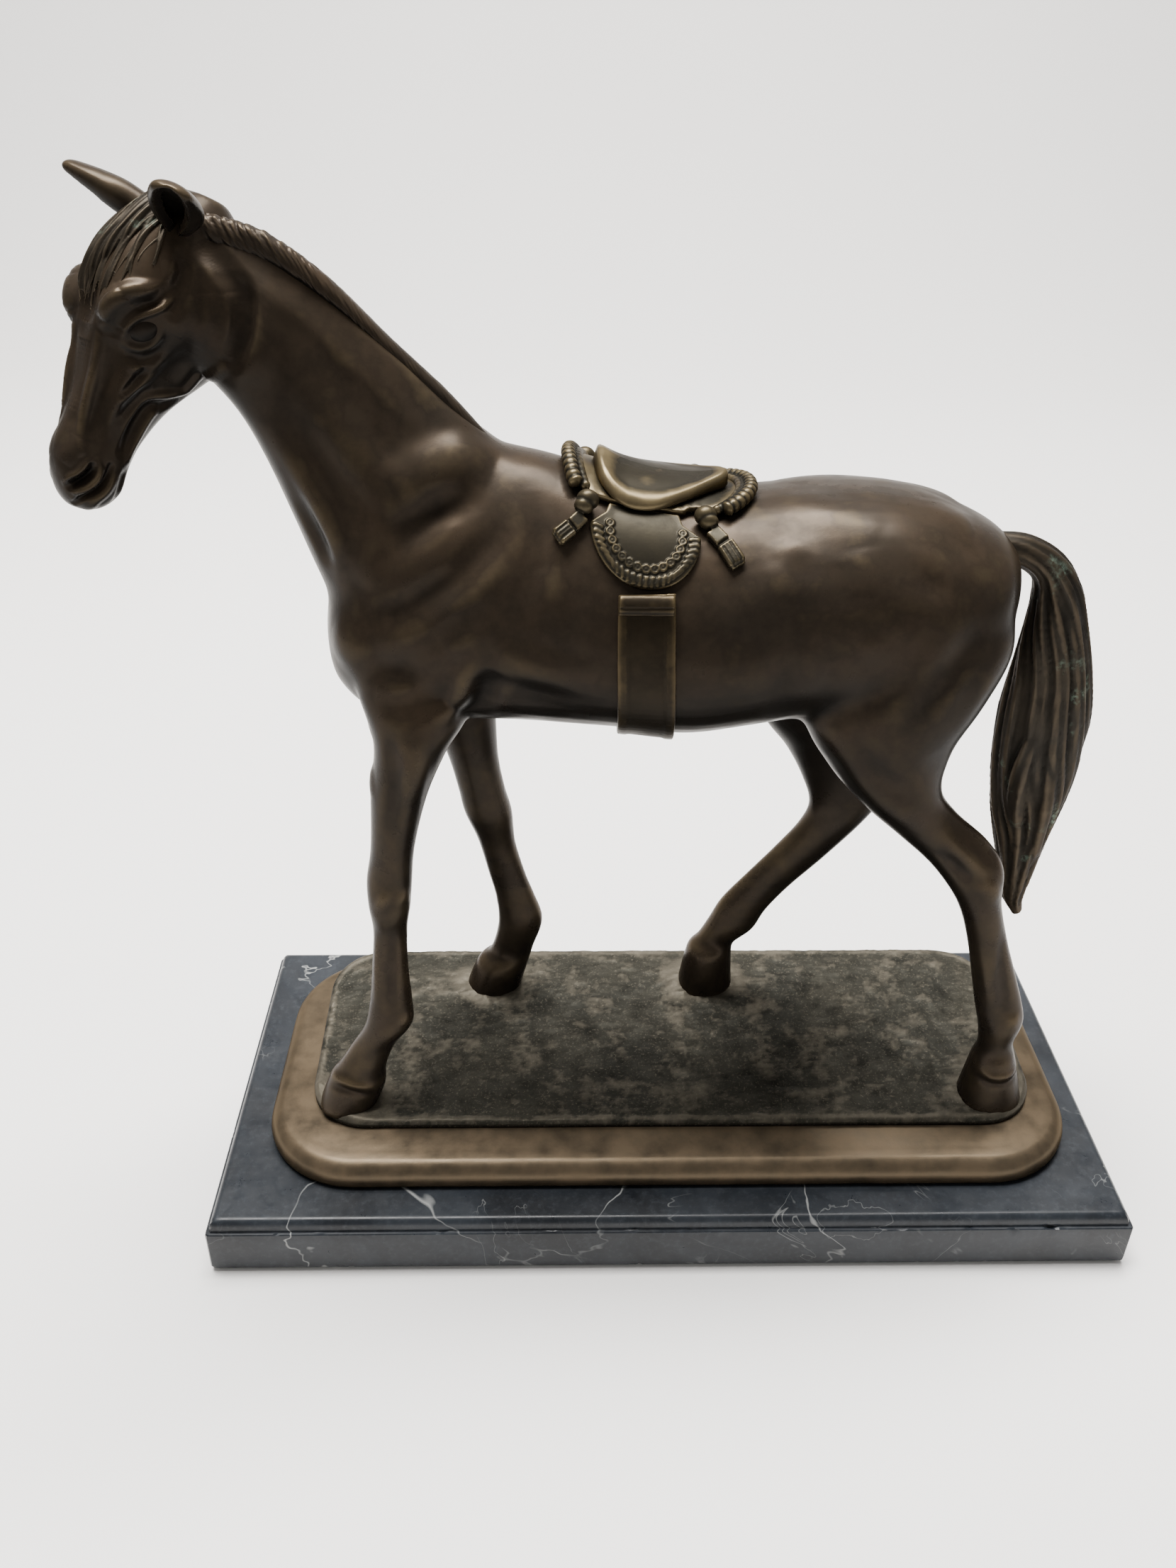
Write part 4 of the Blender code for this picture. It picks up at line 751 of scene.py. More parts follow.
def horse_skin():
    """Trunk, neck, head and legs melted into one form, with its muscles and its face raised."""
    limbs = (TRUNK, NECK, SHEATH, NEAR_FORE, OFF_FORE, NEAR_HIND, OFF_HIND)
    shells = [skin("limb", sections(rows, 8, 48)) for rows in limbs]
    shells.append(skin("limb", moved(sections(HEAD, 8, 48), HEAD_AT)))
    horse = melt(join("horse", shells), *VOXELS["skin"])
    soften(horse, *NECK_BASE)
    soften(horse, *LOIN)
    clay = Clay(horse)
    for side in BOTH:
        for depth, width, points in TRUNK_STROKES + NECK_STROKES:
            clay.line(depth * MUSCLE_DEPTH, width * MUSCLE_WIDTH, points, side)
    for side, strokes in ((NEAR, NEAR_LEG_STROKES), (OFF, OFF_LEG_STROKES)):
        for depth, width, points in strokes:
            clay.line(depth * MUSCLE_DEPTH, width * MUSCLE_WIDTH, points, side)
    clay.shift = eased(clay.shift, edges(horse), MUSCLE_EASE)
    clay.write()
    refine_head(horse)
    clay = Clay(horse)
    for side in BOTH:
        for depth, width, points in FACE_STROKES + (OFF_FACE_STROKES if side == OFF else []):
            clay.trace(depth, width, [(x, -side * y, z) for x, y, z in points], HEAD_AT)
    clay.write()
    points = vertices(horse)
    low, high = np.array(CAD_LOW) / MM + INSIDE, np.array(CAD_HIGH) / MM - INSIDE
    move_vertices(horse, np.clip(points, low, high))
    return horse, clay.tree


def keep_normals(target):
    """Store each vertex's normal, so that a cut through the skin doesn't show."""
    kept = target.data.attributes.new("lie", "FLOAT_VECTOR", "POINT")
    kept.data.foreach_set("vector", normals(target).astype(np.float32).ravel())


def cut_section(source, name, cuts):
    """A copy of a skin without what lies beyond each (point, direction) cut, its ends still open."""
    form = bmesh.new()
    form.from_mesh(source.data)
    for point, direction in cuts:
        everything = form.verts[:] + form.edges[:] + form.faces[:]
        bmesh.ops.bisect_plane(
            form, geom=everything, plane_co=Vector(point) * MM, plane_no=Vector(direction),
            clear_outer=True,
        )
    return formed(name, form)


def close_ends(target):
    """Cap the open ends of a section, and shade its skin by the normals it keeps."""
    form = bmesh.new()
    form.from_mesh(target.data)
    for face in form.faces:
        face.smooth = True
    rims = [edge for edge in form.edges if edge.is_boundary]
    caps = bmesh.ops.holes_fill(form, edges=rims)["faces"]
    caps = bmesh.ops.triangulate(form, faces=caps)["faces"]
    for face in caps:
        face.smooth = False
    form.to_mesh(target.data)
    form.free()
    mesh = target.data
    lie = np.empty(len(mesh.vertices) * 3, np.float32)
    mesh.attributes["lie"].data.foreach_get("vector", lie)
    lie = lie.reshape(-1, 3)
    lie /= np.maximum(np.linalg.norm(lie, axis=1), 1e-6)[:, None]
    corner = np.empty(len(mesh.loops), np.int32)
    mesh.loops.foreach_get("vertex_index", corner)
    smooth = np.empty(len(mesh.polygons), bool)
    mesh.polygons.foreach_get("use_smooth", smooth)
    total = np.empty(len(mesh.polygons), np.int32)
    mesh.polygons.foreach_get("loop_total", total)
    kept = lie[corner] * np.repeat(smooth, total)[:, None]
    mesh.normals_split_custom_set(kept.tolist())
    mesh.attributes.remove(mesh.attributes["lie"])


def split_loose(target, names):
    """Part an object's separate shells, and name each by the place nearest its middle."""
    form = bmesh.new()
    form.from_mesh(target.data)
    form.verts.ensure_lookup_table()
    left = set(form.verts)
    shells = []
    while left:
        stack = [left.pop()]
        shell = set(stack)
        while stack:
            for edge in stack.pop().link_edges:
                for vert in edge.verts:
                    if vert not in shell:
                        shell.add(vert)
                        left.discard(vert)
                        stack.append(vert)
        shells.append({vert.index for vert in shell})
    form.free()
    out = {}
    for shell in sorted(shells, key=min):
        part = bmesh.new()
        part.from_mesh(target.data)
        part.verts.ensure_lookup_table()
        gone = [vert for vert in part.verts if vert.index not in shell]
        bmesh.ops.delete(part, geom=gone, context="VERTS")
        middle = sum((vert.co for vert in part.verts), Vector()) / len(part.verts) / MM
        name = min(names, key=lambda n: (middle.xy - Vector(names[n])).length)
        out[name] = formed(name, part)
    drop(target)
    return out


def eyes(skin_tree, finish):
    """A smooth eyeball in each socket."""
    turn = HEAD_AT.to_3x3()
    for word, side in (("near", NEAR), ("off", OFF)):
        mirror = Vector((1, -side, 1))
        spot, out, _, _ = skin_tree.find_nearest(HEAD_AT @ (Vector(EYE_AT) * mirror))
        along = turn @ (Vector(EYE_AXIS) * mirror)
        along = (along - along.dot(out) * out).normalized()
        across = out.cross(along)
        long, short, deep = EYE_SIZE
        place_at = spot - out * (deep - EYE_PROUD)
        lie = frame_at(along * long, across * short, out * deep, place_at)
        form = bmesh.new()
        bmesh.ops.create_uvsphere(form, u_segments=40, v_segments=24, radius=1)
        form.transform(Matrix.Scale(MM, 4) @ lie)
        bmesh.ops.recalc_face_normals(form, faces=form.faces)
        finished(formed(word + "_eye", form), finish, "horse_bronze", RUBS["eye"])


def horse(finish):
    """The horse in its cast sections, and its eyes. Gives back the skin before its face was worked."""
    whole, plain_tree = horse_skin()
    rub(whole, *RUBS["skin"])
    keep_normals(whole)
    neck_at, neck_way = NECK_SEAM
    head_at, head_way = HEAD_SEAM
    back = tuple(-part for part in neck_way)
    down = ((0, 0, LEG_SEAM), (0, 0, -1))
    barrel = cut_section(whole, "barrel_skin", [(neck_at, neck_way), down])
    neck = cut_section(whole, "neck_skin", [(neck_at, back), (head_at, head_way)])
    head_back = tuple(-part for part in head_way)
    head = cut_section(whole, "head_skin", [(neck_at, back), (head_at, head_back)])
    legs = cut_section(whole, "legs", [((0, 0, LEG_SEAM), (0, 0, 1))])
    middles = {
        "near_foreleg_skin": (-98, -25), "off_foreleg_skin": (-68, 30),
        "near_hindleg_skin": (100, -27), "off_hindleg_skin": (50, 30),
    }
    legs = split_loose(legs, middles)
    drop(whole)
    for piece, node in ((barrel, "barrel"), (neck, "neck"), (head, "head")):
        close_ends(piece)
        place(piece, finish, "horse_bronze", node)
    for name, piece in legs.items():
        close_ends(piece)
        place(piece, finish, "horse_bronze", name.removesuffix("_skin"))
    eyes(plain_tree, finish)
    return plain_tree


# ---------------------------------------------------------------- ears and hair
EAR_WALL = 2.9
EAR_SHORTER = 0.97


def ears(finish):
    """Two leaf-shaped ears, each a curled sheet that opens towards the front."""
    rows = smooth_rows(EAR, 8)
    count = len(rows)
    for word, side in (("near", NEAR), ("off", OFF)):
        along = Vector((EAR_AIM[0], -side * EAR_AIM[1], EAR_AIM[2])).normalized()
        opening = Vector((1, 0, 0))
        opening = (opening - opening.dot(along) * along).normalized()
        root = Vector((EAR_ROOT[0], -side * EAR_ROOT[1], EAR_ROOT[2]))
        lie = frame_at(along, (-opening).cross(along), -opening, root)
        rings = []
        for k, (x, top, _, low, _, half, _, _) in enumerate(rows):
            share = k / (count - 1)
            reach = math.radians(np.interp(share, [0, 0.2, 0.45, 0.8, 1], [175, 162, 144, 132, 120]))
            turns = np.linspace(-reach, reach, 33)
            middle, tall = (top + low) / 2, (top - low) / 2
            wall = EAR_WALL * np.interp(share, [0, 0.7, 1], [1.0, 0.95, 0.8])
            half *= np.interp(share, [0, 0.45, 0.8, 1], [1, 1.08, 1.25, 1.3])
            x *= EAR_SHORTER
            outer = np.stack([turns * 0 + x, half * np.sin(turns), middle + tall * np.cos(turns)], 1)
            inner = np.stack(
                [
                    turns * 0 + x,
                    max(half - wall, 0.1) * np.sin(turns),
                    middle + max(tall - wall, 0.1) * np.cos(turns),
                ],
                1,
            )
            rings.append(np.vstack([outer, inner[::-1]]))
        ear = skin(word + "_ear_leaf", moved(moved(rings, lie), HEAD_AT))
        melt(ear, *VOXELS["ear"])
        finished(ear, finish, "horse_bronze", RUBS["ear"], word + "_ear")


def ridged(turns, count, wander):
    """Rounded locks with sharp grooves between them: 1 on a lock and 0 in a groove."""
    return np.abs(np.cos(turns * count / 2 + wander))


# Locks of the tail that end short: points of a centre line, and a thickness.
TAIL_LOCKS = (
    ([(131, 6, 190), (136, 6.5, 172), (137, 6, 156), (134.5, 5, 146)], 4.2),
    ([(128, 8, 172), (131, 8, 152), (132, 7, 134), (131, 6, 122)], 3.6),
    ([(120, -5, 186), (118, -5.5, 168), (119, -4.5, 152), (122.5, -3, 138)], 3.6),
    ([(126, -5, 176), (128, -5.5, 156), (129, -4, 138), (130, -1, 122)], 3.4),
    ([(117, 4, 200), (115, 5, 182), (116, 6, 166), (119, 6, 152)], 3.4),
)


def pushed(rings, height, least):
    """Rings with their points moved out by height, but kept past a least share of their reach."""
    middle = rings.mean(1, keepdims=True)
    out = rings - middle
    reach = np.linalg.norm(out, axis=2, keepdims=True)
    return middle + out * np.maximum(reach + height[..., None], reach * least) / np.maximum(reach, 0.01)


def tail(finish):
    """The tail's locks: one body combed in long waves, with locks that end short of the tip."""
    around = 220
    rings = sections(TAIL, 16, around)
    count = len(rings)
    share = np.linspace(0, 1, count)[:, None]
    turns = np.linspace(0, math.tau, around, endpoint=False)[None]
    twist = turns + 0.35 * np.sin(5.2 * share + 0.6) + 0.10 * np.sin(17 * share + turns)
    locks = 0.9 * ridged(twist, 10, 1.2 * np.sin(4.6 * share))
    locks = locks + 0.55 * ridged(twist, 23, 1.8 * np.sin(6.0 * share + 1.0) + 0.4 * np.sin(2 * turns))
    locks = locks + 0.22 * ridged(twist, 51, 2.4 * np.sin(7.5 * share + 2.0))
    depth = np.interp(share, [0, 0.08, 0.25, 0.85, 1], [0.15, 0.35, 1.0, 1.0, 0.35])
    rings = pushed(rings, depth * (locks - 1.15) * 1.25, 0.35)
    shells = [skin("tail", rings)]
    for points, thick in TAIL_LOCKS:
        shells.append(skin("lock", strand(points, thick, 0.25, 20)))
    made = melt(join("tail_hair", shells), *VOXELS["tail"])
    finished(made, finish, "horse_bronze", RUBS["tail"], "tail")


def strand(points, thick, end, around, flat=0.8):
    """Rings along a lock of hair: full at a third of its length, and thin at its ends."""
    path = smooth_rows(points, 8)
    share = np.linspace(0, 1, len(path))
    ahead = unit(np.gradient(path, axis=0))
    side = unit(np.cross(ahead, [0.1, 0.3, 1.0]))
    up = np.cross(side, ahead)
    size = thick * np.interp(share, [0, 0.15, 0.4, 0.8, 1], [0.55, 0.85, 1, 0.75, end])
    turns = np.linspace(0, math.tau, around, endpoint=False)
    lobes = 1 + 0.08 * np.cos(turns * 5)[None]
    wide = (size[:, None] * lobes * np.cos(turns))[..., None] * side[:, None]
    tall = (size[:, None] * lobes * np.sin(turns) * flat)[..., None] * up[:, None]
    return path[:, None] + wide + tall


MANE_START = (-149, 343.0, -148, 334, 0.5, 2.4, 2.0, 0.0)  # up between the ears


def mane(finish):
    """The clipped mane: an upright roll, combed across and rough at the poll."""
    around = 120
    rings = sections([MANE_START] + MANE[1:], 60, around)
    length = lengths(rings.mean(1))[:, None]
    turns = np.linspace(0, math.tau, around, endpoint=False)[None]
    height = np.cos(turns)
    slant = length + 2.0 * height
    comb = 0.7 * np.abs(np.sin(slant * math.pi / 3.4 + 1.6 * np.sin(length * 0.31)))
    comb = comb + 0.75 + 0.9 * grain(slant, 2.0 * turns + 0 * slant, 0.42, 5.0, 3)
    rough = np.interp(length, [0, 4, 40, 70, 120], [0.8, 0.8, 0.55, 0.2, 0.08])
    top = np.interp(height, [-1, 0.0, 0.8, 1], [0.2, 0.6, 1, 1.0])
    rings = pushed(rings, rough * top * (comb - 1.15) * 0.75, 0.4)
    # it sinks into the poll and into the withers at its ends
    total = length.max()
    sunk = 3.4 * np.interp(length, [0, 5, total - 26, total], [0.3, 0, 0, 1]) ** 1.5
    rings[..., 2] -= sunk
    made = skin("mane_crest", rings)
    finished(made, finish, "horse_bronze", RUBS["mane"], "mane")


def forelock(finish, skin_tree):
    """Locks laid over the brow from between the ears."""
    shells = [skin("root", moved(sections(FORELOCK, 6, 40) * [1, 1, 1] - [0, 0, 1.6], HEAD_AT))]
    turn = HEAD_AT.to_3x3()
    root_tree = tree_of(shells[0])
    for number, across in enumerate(np.linspace(-1, 1, 35)):
        jitter = math.sin(number * 2.4)
        end = 32 - 17 * abs(across) ** 2.6 + 2.2 * math.sin(number * 1.9)
        start = -4 + 7 * across * across
        points = []
        for share in np.linspace(0, 1, 14):
            x = start + (end - start) * share
            y = across * (9.2 + 4.6 * share**1.2) + 1.0 * jitter * math.sin(share * 4.5 + number)
            above = HEAD_AT @ Vector((x, y, 60))
            hits = [tree.ray_cast(above, turn @ Vector((0, 0, -1))) for tree in (skin_tree, root_tree)]
            hits = [hit for hit in hits if hit[0] is not None]
            if not hits:
                break
            spot, facing, _, _ = min(hits, key=lambda hit: hit[3])
            lift = 0.05 + 0.4 * (number % 2) * (1 - share) + 0.2 * math.sin(6 * share + 2 * number)
            points.append(spot + facing * lift)
        if len(points) > 4:
            thick = 0.56 + 0.16 * math.sin(number * 1.3)
            shells.append(skin("lock", strand(points, thick, 0.15, 12, 0.8)))
    made = melt(join("forelock_locks", shells), *VOXELS["forelock"])
    finished(made, finish, "horse_bronze", RUBS["forelock"], "forelock")


# ---------------------------------------------------------------- saddlery
LIE = 0.5  # clear of the skin
CLOTH = 1.9
BLANKET = [
    (-37.7, 0), (-37.0, 6), (-35.7, 12), (-33.5, 15.5), (-30, 16.2), (-20, 16.2), (-10, 16.2),
    (-4, 16.2), (-1, 14.3), (6.4, 13.6), (11.6, 9.6), (14.7, 5), (15.6, 0),
]
SEAT = [
    (-32.5, 0), (-32, 6), (-30.5, 11.5), (-27, 16), (-22, 18.6), (-16.5, 18.8), (-11, 17.2),
    (-5, 13.8), (0.5, 10.2), (6, 6.4), (10, 3.4), (11.5, 0),
]
SEAT_UNDER = LIE + CLOTH + 0.5
SEAT_EDGE = 2.2
SEAT_DROP = 18.8
SEAT_POMMEL, SEAT_CANTLE = 2.6, 2.4  # how far they rise
SADDLE_MIDDLE = (-11.0, 0.0)
FLAP_MIDDLE = (-15.5, 25.0)
FLAP_RADIUS = 17.0
FLAP_TOP = 17.2
FLAP_BLOCKS, FLAP_ROSETTES = 25, 15
STUD_SUNK = 1.0  # where the blocks and rosettes stand, above the flap's underside
ROSETTE = [(0.02, 0.9), (0.35, 0.85), (0.6, 0.5), (0.8, 0.75), (1.15, 0.95), (1.4, 0.7), (1.5, -0.4)]
FRONT_ROLL = [(-40.5, 0), (-40, 6), (-38.7, 12), (-37.2, 15.2)]
REAR_ROLL = [(18.5, 0), (17.4, 6), (14, 11.5), (8.8, 15.8)]
ROLL_RADIUS = 2.3
TIES = (
    ("front", (-34.0, 19.8), [(-36.3, 24.5), (-40.0, 28.8), (-44.2, 33.0)]),
    ("rear", (3.0, 18.6), [(5.0, 22.6), (8.6, 27.4), (12.4, 34.0)]),
)
GIRTH_TOP = 43.4
GIRTH_LINE = [(-15.3, 43.4), (-14.6, 60), (-12.8, 85), (-11.5, 110), (-11.2, 126)]
GIRTH_HALF_WIDTH = 8.6
TRUNK_ROWS = smooth_rows(TRUNK, 12)
TRUNK_X = (TRUNK_ROWS[:, 0] + TRUNK_ROWS[:, 2]) / 2
TURNS = np.linspace(0, math.pi, 181)


def section_points(x, turn):
    """Points of the trunk's sections at x, at an angle down from the top line."""
    xa, za, xb, zb, y, half, full, lean = (
        np.interp(x, TRUNK_X, TRUNK_ROWS[:, k]) for k in range(TRUNK_ROWS.shape[1])
    )
    along, across = squared(np.cos(turn), full), squared(np.sin(turn), full)
    middle_x, middle_z = (xa + xb) / 2, (za + zb) / 2
    return np.stack(
        [
            middle_x + along * (xa - xb) / 2,
            y + across * half * (1 - lean * along),
            middle_z + along * (za - zb) / 2,
        ],
        -1,
    )


def turn_at(x, arc):
    """The section angles that lie an arc's length of skin down from the top line."""
    x, arc = np.broadcast_arrays(np.asarray(x, float), np.asarray(arc, float))
    out = np.empty(x.shape)
    for spot in np.ndindex(x.shape):
        points = section_points(np.full(TURNS.shape, x[spot]), TURNS)
        out[spot] = np.interp(abs(arc[spot]), lengths(points), TURNS)
    return np.copysign(out, arc)


def lifted(x, turn, lift):
    """Points lifted off the trunk's skin, and the skin's normals there."""
    here = section_points(x, turn)
    along = section_points(x + 0.5, turn) - here
    around = section_points(x, turn + 0.01) - here
    facing = unit(np.cross(along, around))
    return here + facing * np.asarray(lift)[..., None], facing


def at(x, arc, lift, side=NEAR):
    """Points over (x, arc) on one side; a negative arc crosses over."""
    x, arc, lift = np.broadcast_arrays(
        np.asarray(x, float), np.asarray(arc, float), np.asarray(lift, float)
    )
    return lifted(x, side * turn_at(x, arc), lift)[0]


def evened(outline, count):
    """The same closed outline with its points spaced evenly."""
    loop = np.vstack([outline, outline[:1]])
    length = lengths(loop)
    marks = np.linspace(0, length[-1], count, endpoint=False)
    return np.stack([np.interp(marks, length, loop[:, k]) for k in range(2)], 1)


def both_sides(outline):
    """An outline of the near side carried on round the off side."""
    return list(outline) + [(x, -arc) for x, arc in reversed(outline[1:-1])]


def plate(name, outline, middle, under, over, side=NEAR, rings=14, edge=0.7):
    """A plate that follows the skin between two lifts, its rim rounded over by edge."""
    outline, middle = np.asarray(outline, float), np.asarray(middle, float)
    reach = np.linalg.norm(outline - middle, axis=1).mean()
    levels = []
    rim = np.linspace(0, math.pi / 2, 5)[1:]
    inner = np.linspace(0.06, 1 - edge / reach, rings)
    shares = np.concatenate([inner, 1 - edge / reach * (1 - np.sin(rim))])
    drops = np.concatenate([np.zeros(rings), edge * (1 - np.cos(rim))])
    for share, fall in zip(shares, drops):
        spots = middle + (outline - middle) * share
        top = over(spots[:, 0], spots[:, 1]) - fall
        levels.append(at(spots[:, 0], spots[:, 1], top, side))
    spots = outline
    low = under(spots[:, 0], spots[:, 1])
    levels.append(at(spots[:, 0], spots[:, 1], low + 0.2, side))
    for share in np.linspace(1 - edge / reach, 0.06, 6):
        spots = middle + (outline - middle) * share
        levels.append(at(spots[:, 0], spots[:, 1], under(spots[:, 0], spots[:, 1]), side))
    return skin(name, levels)


def level(lift):
    """A lift that is the same all over."""
    return lambda x, arc: np.full(np.shape(x), lift)


def seat_top(x, arc):
    """The seat swells to its pommel and cantle, and has a rolled lower edge."""
    front, rear = SEAT[0][0], SEAT[-1][0]
    share = np.clip((x - front) / (rear - front), 0, 1)
    rise = SEAT_POMMEL * (1 - share) ** 4 + SEAT_CANTLE * share**3
    inward = np.maximum(0.0, 1 - np.abs(arc) / SEAT_DROP)
    roll = 0.5 * np.exp(-(((np.abs(arc) - 0.84 * edge_arc(x)) / 2.2) ** 2))
    return SEAT_UNDER + SEAT_EDGE + (0.4 + rise) * inward + roll


def edge_arc(x):
    """How far down its side the seat reaches at x."""
    table = np.array(SEAT)
    return np.interp(x, table[:, 0], table[:, 1])


def seat(finish):
    """The leather seat over the blanket."""
    outline = evened(smooth_rows(both_sides(SEAT) + [SEAT[0]], 6)[:-1], 150)
    made = plate("seat_leather", outline, SADDLE_MIDDLE, level(SEAT_UNDER), seat_top, rings=22, edge=1.9)
    finished(made, finish, "saddle_bronze", RUBS["seat"], "saddle_seat")


def blanket(finish):
    """The cloth under the seat, a little creased."""
    outline = evened(smooth_rows(both_sides(BLANKET) + [BLANKET[0]], 4)[:-1], 130)

    def over(x, arc):
        crease = 0.18 * np.sin(x * 1.9 + 0.5 * np.sin(arc * 0.7)) * np.exp(-((x + 11) / 30) ** 2)
        return LIE + CLOTH + crease * 0.6

    made = plate("blanket_cloth", outline, SADDLE_MIDDLE, level(LIE), over, rings=22)
    finished(made, finish, "saddle_bronze", RUBS["blanket"], "saddle_blanket")


def fringe(name, line, node, finish, inward):
    """A fringe roll over the back: a ribbed outer cord, and a soft flat one inside it."""
    over = np.array(list(reversed(line)) + [(x, -arc) for x, arc in line[1:]], float)
    path = smooth_rows(over, 26)
    shells = []
    for offset, radius, lift, rib in ((0.0, ROLL_RADIUS, 0.0, 0.30), (inward * 3.3, 1.5, -0.5, 0.10)):
        x, arc = path[:, 0] + offset, path[:, 1]
        turn = NEAR * turn_at(x, arc)
        middle, facing = lifted(x, turn, np.full(len(x), LIE + ROLL_RADIUS + lift))
        across = np.cross(unit(np.gradient(middle, axis=0)), facing)
        length = lengths(middle)
        ribs = np.abs(np.sin(length * math.pi / 2.5)) ** 0.5
        size = radius * (1 - rib + rib * ribs)
        ends = np.minimum(length, length[-1] - length)
        size = size * np.clip(np.sqrt(np.clip(ends, 0, None) / 1.6) + 0.12, 0, 1)
        turns = np.linspace(0, math.tau, 28, endpoint=False)
        wide = (size[:, None] * np.cos(turns))[..., None] * across[:, None]
        tall = (size[:, None] * np.sin(turns))[..., None] * facing[:, None]
        shells.append(skin("cord", middle[:, None] + wide + tall))
    made = join(name, shells)
    melt(made, *VOXELS["fringe"])
    finished(made, finish, "saddle_bronze", RUBS["fringe"], node)


def on_skin(x, arc, side, lift):
    """A frame standing on the skin: x forward along the trunk, z out of it."""
    turn = side * turn_at(x, arc)
    spot, out = (part[()] for part in lifted(np.float64(x), turn, np.float64(lift)))
    out = Vector(out)
    ahead = Vector(section_points(np.float64(x) + 1, turn) - section_points(np.float64(x), turn))
    ahead = (ahead - ahead.dot(out) * out).normalized()
    return frame_at(ahead, out.cross(ahead), out, Vector(spot))


def turned(profile, around=24):
    """Rings of a turned form from (radius, height) points."""
    turns = np.linspace(0, math.tau, around, endpoint=False)
    return np.array(
        [np.stack([r * np.cos(turns), r * np.sin(turns), turns * 0 + z], 1) for r, z in profile]
    )


def lump(size, around=16, levels=9, square=2.0):
    """Rings of a rounded block, half sunk: size is (half length, half width, height)."""
    rings = []
    turns = np.linspace(0, math.tau, around, endpoint=False)
    c, s = np.cos(turns), np.sin(turns)
    for rise in np.linspace(-0.5, 1, levels):
        reach = max(1 - max(rise, 0) ** square, 0.02) ** (1 / square)
        x = squared(c, square) * size[0] * reach
        y = squared(s, square) * size[1] * reach
        rings.append(np.stack([x, y, turns * 0 + rise * size[2]], 1))
    return np.array(rings)


def flap(word, side, finish):
    """A half-round flap: a plain field, rosettes round it, and a border of stitched blocks."""
    x, arc = FLAP_MIDDLE
    turns = np.radians(np.linspace(0, 180, 61))
    curve = np.stack([x + FLAP_RADIUS * np.cos(turns), arc + FLAP_RADIUS * np.sin(turns)], 1)
    left, right = x - FLAP_RADIUS, x + FLAP_RADIUS
    top = [(left + 4.5, arc - 4.5), (left + 5.5, FLAP_TOP), (x, FLAP_TOP)]
    top += [(right - 6.5, FLAP_TOP), (right - 5.5, arc - 4.0)]
    outline = evened(np.vstack([curve, top]), 150)

    def over(px, parc):
        reach = np.hypot(px - x, parc - arc) / FLAP_RADIUS
        field = 0.55 * np.clip(1 - (reach / 0.62) ** 2, 0, 1)
        return LIE + 1.35 + field

    shells = [plate("field", outline, FLAP_MIDDLE, level(LIE), over, side, 18, 0.5)]

    def around(count, first, last, inset):
        """Frames along an arc inside the curved edge, each with its angle."""
        reach = FLAP_RADIUS - inset
        for k in range(count):
            angle = math.radians(first + (last - first) * k / (count - 1))
            px, parc = x + reach * math.cos(angle), arc + reach * math.sin(angle)
            yield k, angle, on_skin(px, parc, side, LIE + STUD_SUNK)

    for k, angle, lie in around(FLAP_BLOCKS, 4, 176, 2.1):
        size = (1.75, 0.80 + 0.06 * math.sin(k * 2.3), 0.95)
        block = lump(size, 24, 9, 5.0)
        turn = Matrix.Rotation(math.atan2(-side * math.sin(angle), math.cos(angle)), 4, "Z")
        shells.append(skin("block", moved(moved(block, turn), lie)))
    for _, _, lie in around(FLAP_ROSETTES, -4, 184, 5.7):
        shells.append(skin("rosette", moved(turned(ROSETTE, 20), lie)))
    made = melt(join(word + "_flap", shells), *VOXELS["flap"])
    finished(made, finish, "saddle_bronze", RUBS["flap"], word + "_saddle_flap")


def strap(name, centres, turns, profile):
    """A strap along the skin: profile is a closed loop of (offset across, lift) points."""
    x = np.array(centres, float)
    turn = np.array(turns, float)
    middle, facing = lifted(x, turn, np.zeros(len(x)))
    across = unit(np.cross(unit(np.gradient(middle, axis=0)), facing))
    rings = []
    for k in range(len(x)):
        ring = []
        shape = profile(k / (len(x) - 1))
        for offset, lift in shape:
            ring.append(drop_on_trunk(middle[k] + across[k] * offset, lift))
        rings.append(ring)
    return skin(name, rings)


def drop_on_trunk(spot, lift):
    """The point lifted off the skin nearest to a spot."""
    whole = np.linspace(-math.pi, math.pi, 361)
    points = section_points(np.full(whole.shape, spot[0]), whole)
    best = int(np.argmin(np.hypot(points[:, 1] - spot[1], points[:, 2] - spot[2])))
    fine = np.linspace(whole[best] - 0.02, whole[best] + 0.02, 21)
    points = section_points(np.full(fine.shape, spot[0]), fine)
    turn = fine[int(np.argmin(np.hypot(points[:, 1] - spot[1], points[:, 2] - spot[2])))]
    return lifted(np.float64(spot[0]), np.float64(turn), np.float64(lift))[0]


def rounded_strap(half, low, high, edge, hollow=0.0, columns=9):
    """A strap's section: flat below, rounded at its edges, its middle sunk a little."""
    over = []
    for offset in np.linspace(-half + edge, half - edge, columns):
        sunk = hollow * (abs(offset) < half * 0.62)
        over.append((offset, high - sunk))
    corner = [(math.radians(a)) for a in (22, 45, 67)]
    right = [(half - edge + edge * math.sin(a), high - edge + edge * math.cos(a)) for a in corner]
    left = [(-x, lift) for x, lift in reversed(right)]
    ends_right = [(half, high - edge), (half, low)]
    ends_left = [(-half, low), (-half, high - edge)]
    under = [(offset, low) for offset in np.linspace(half, -half, columns)[1:-1]]
    return over + right + ends_right + under + ends_left + left


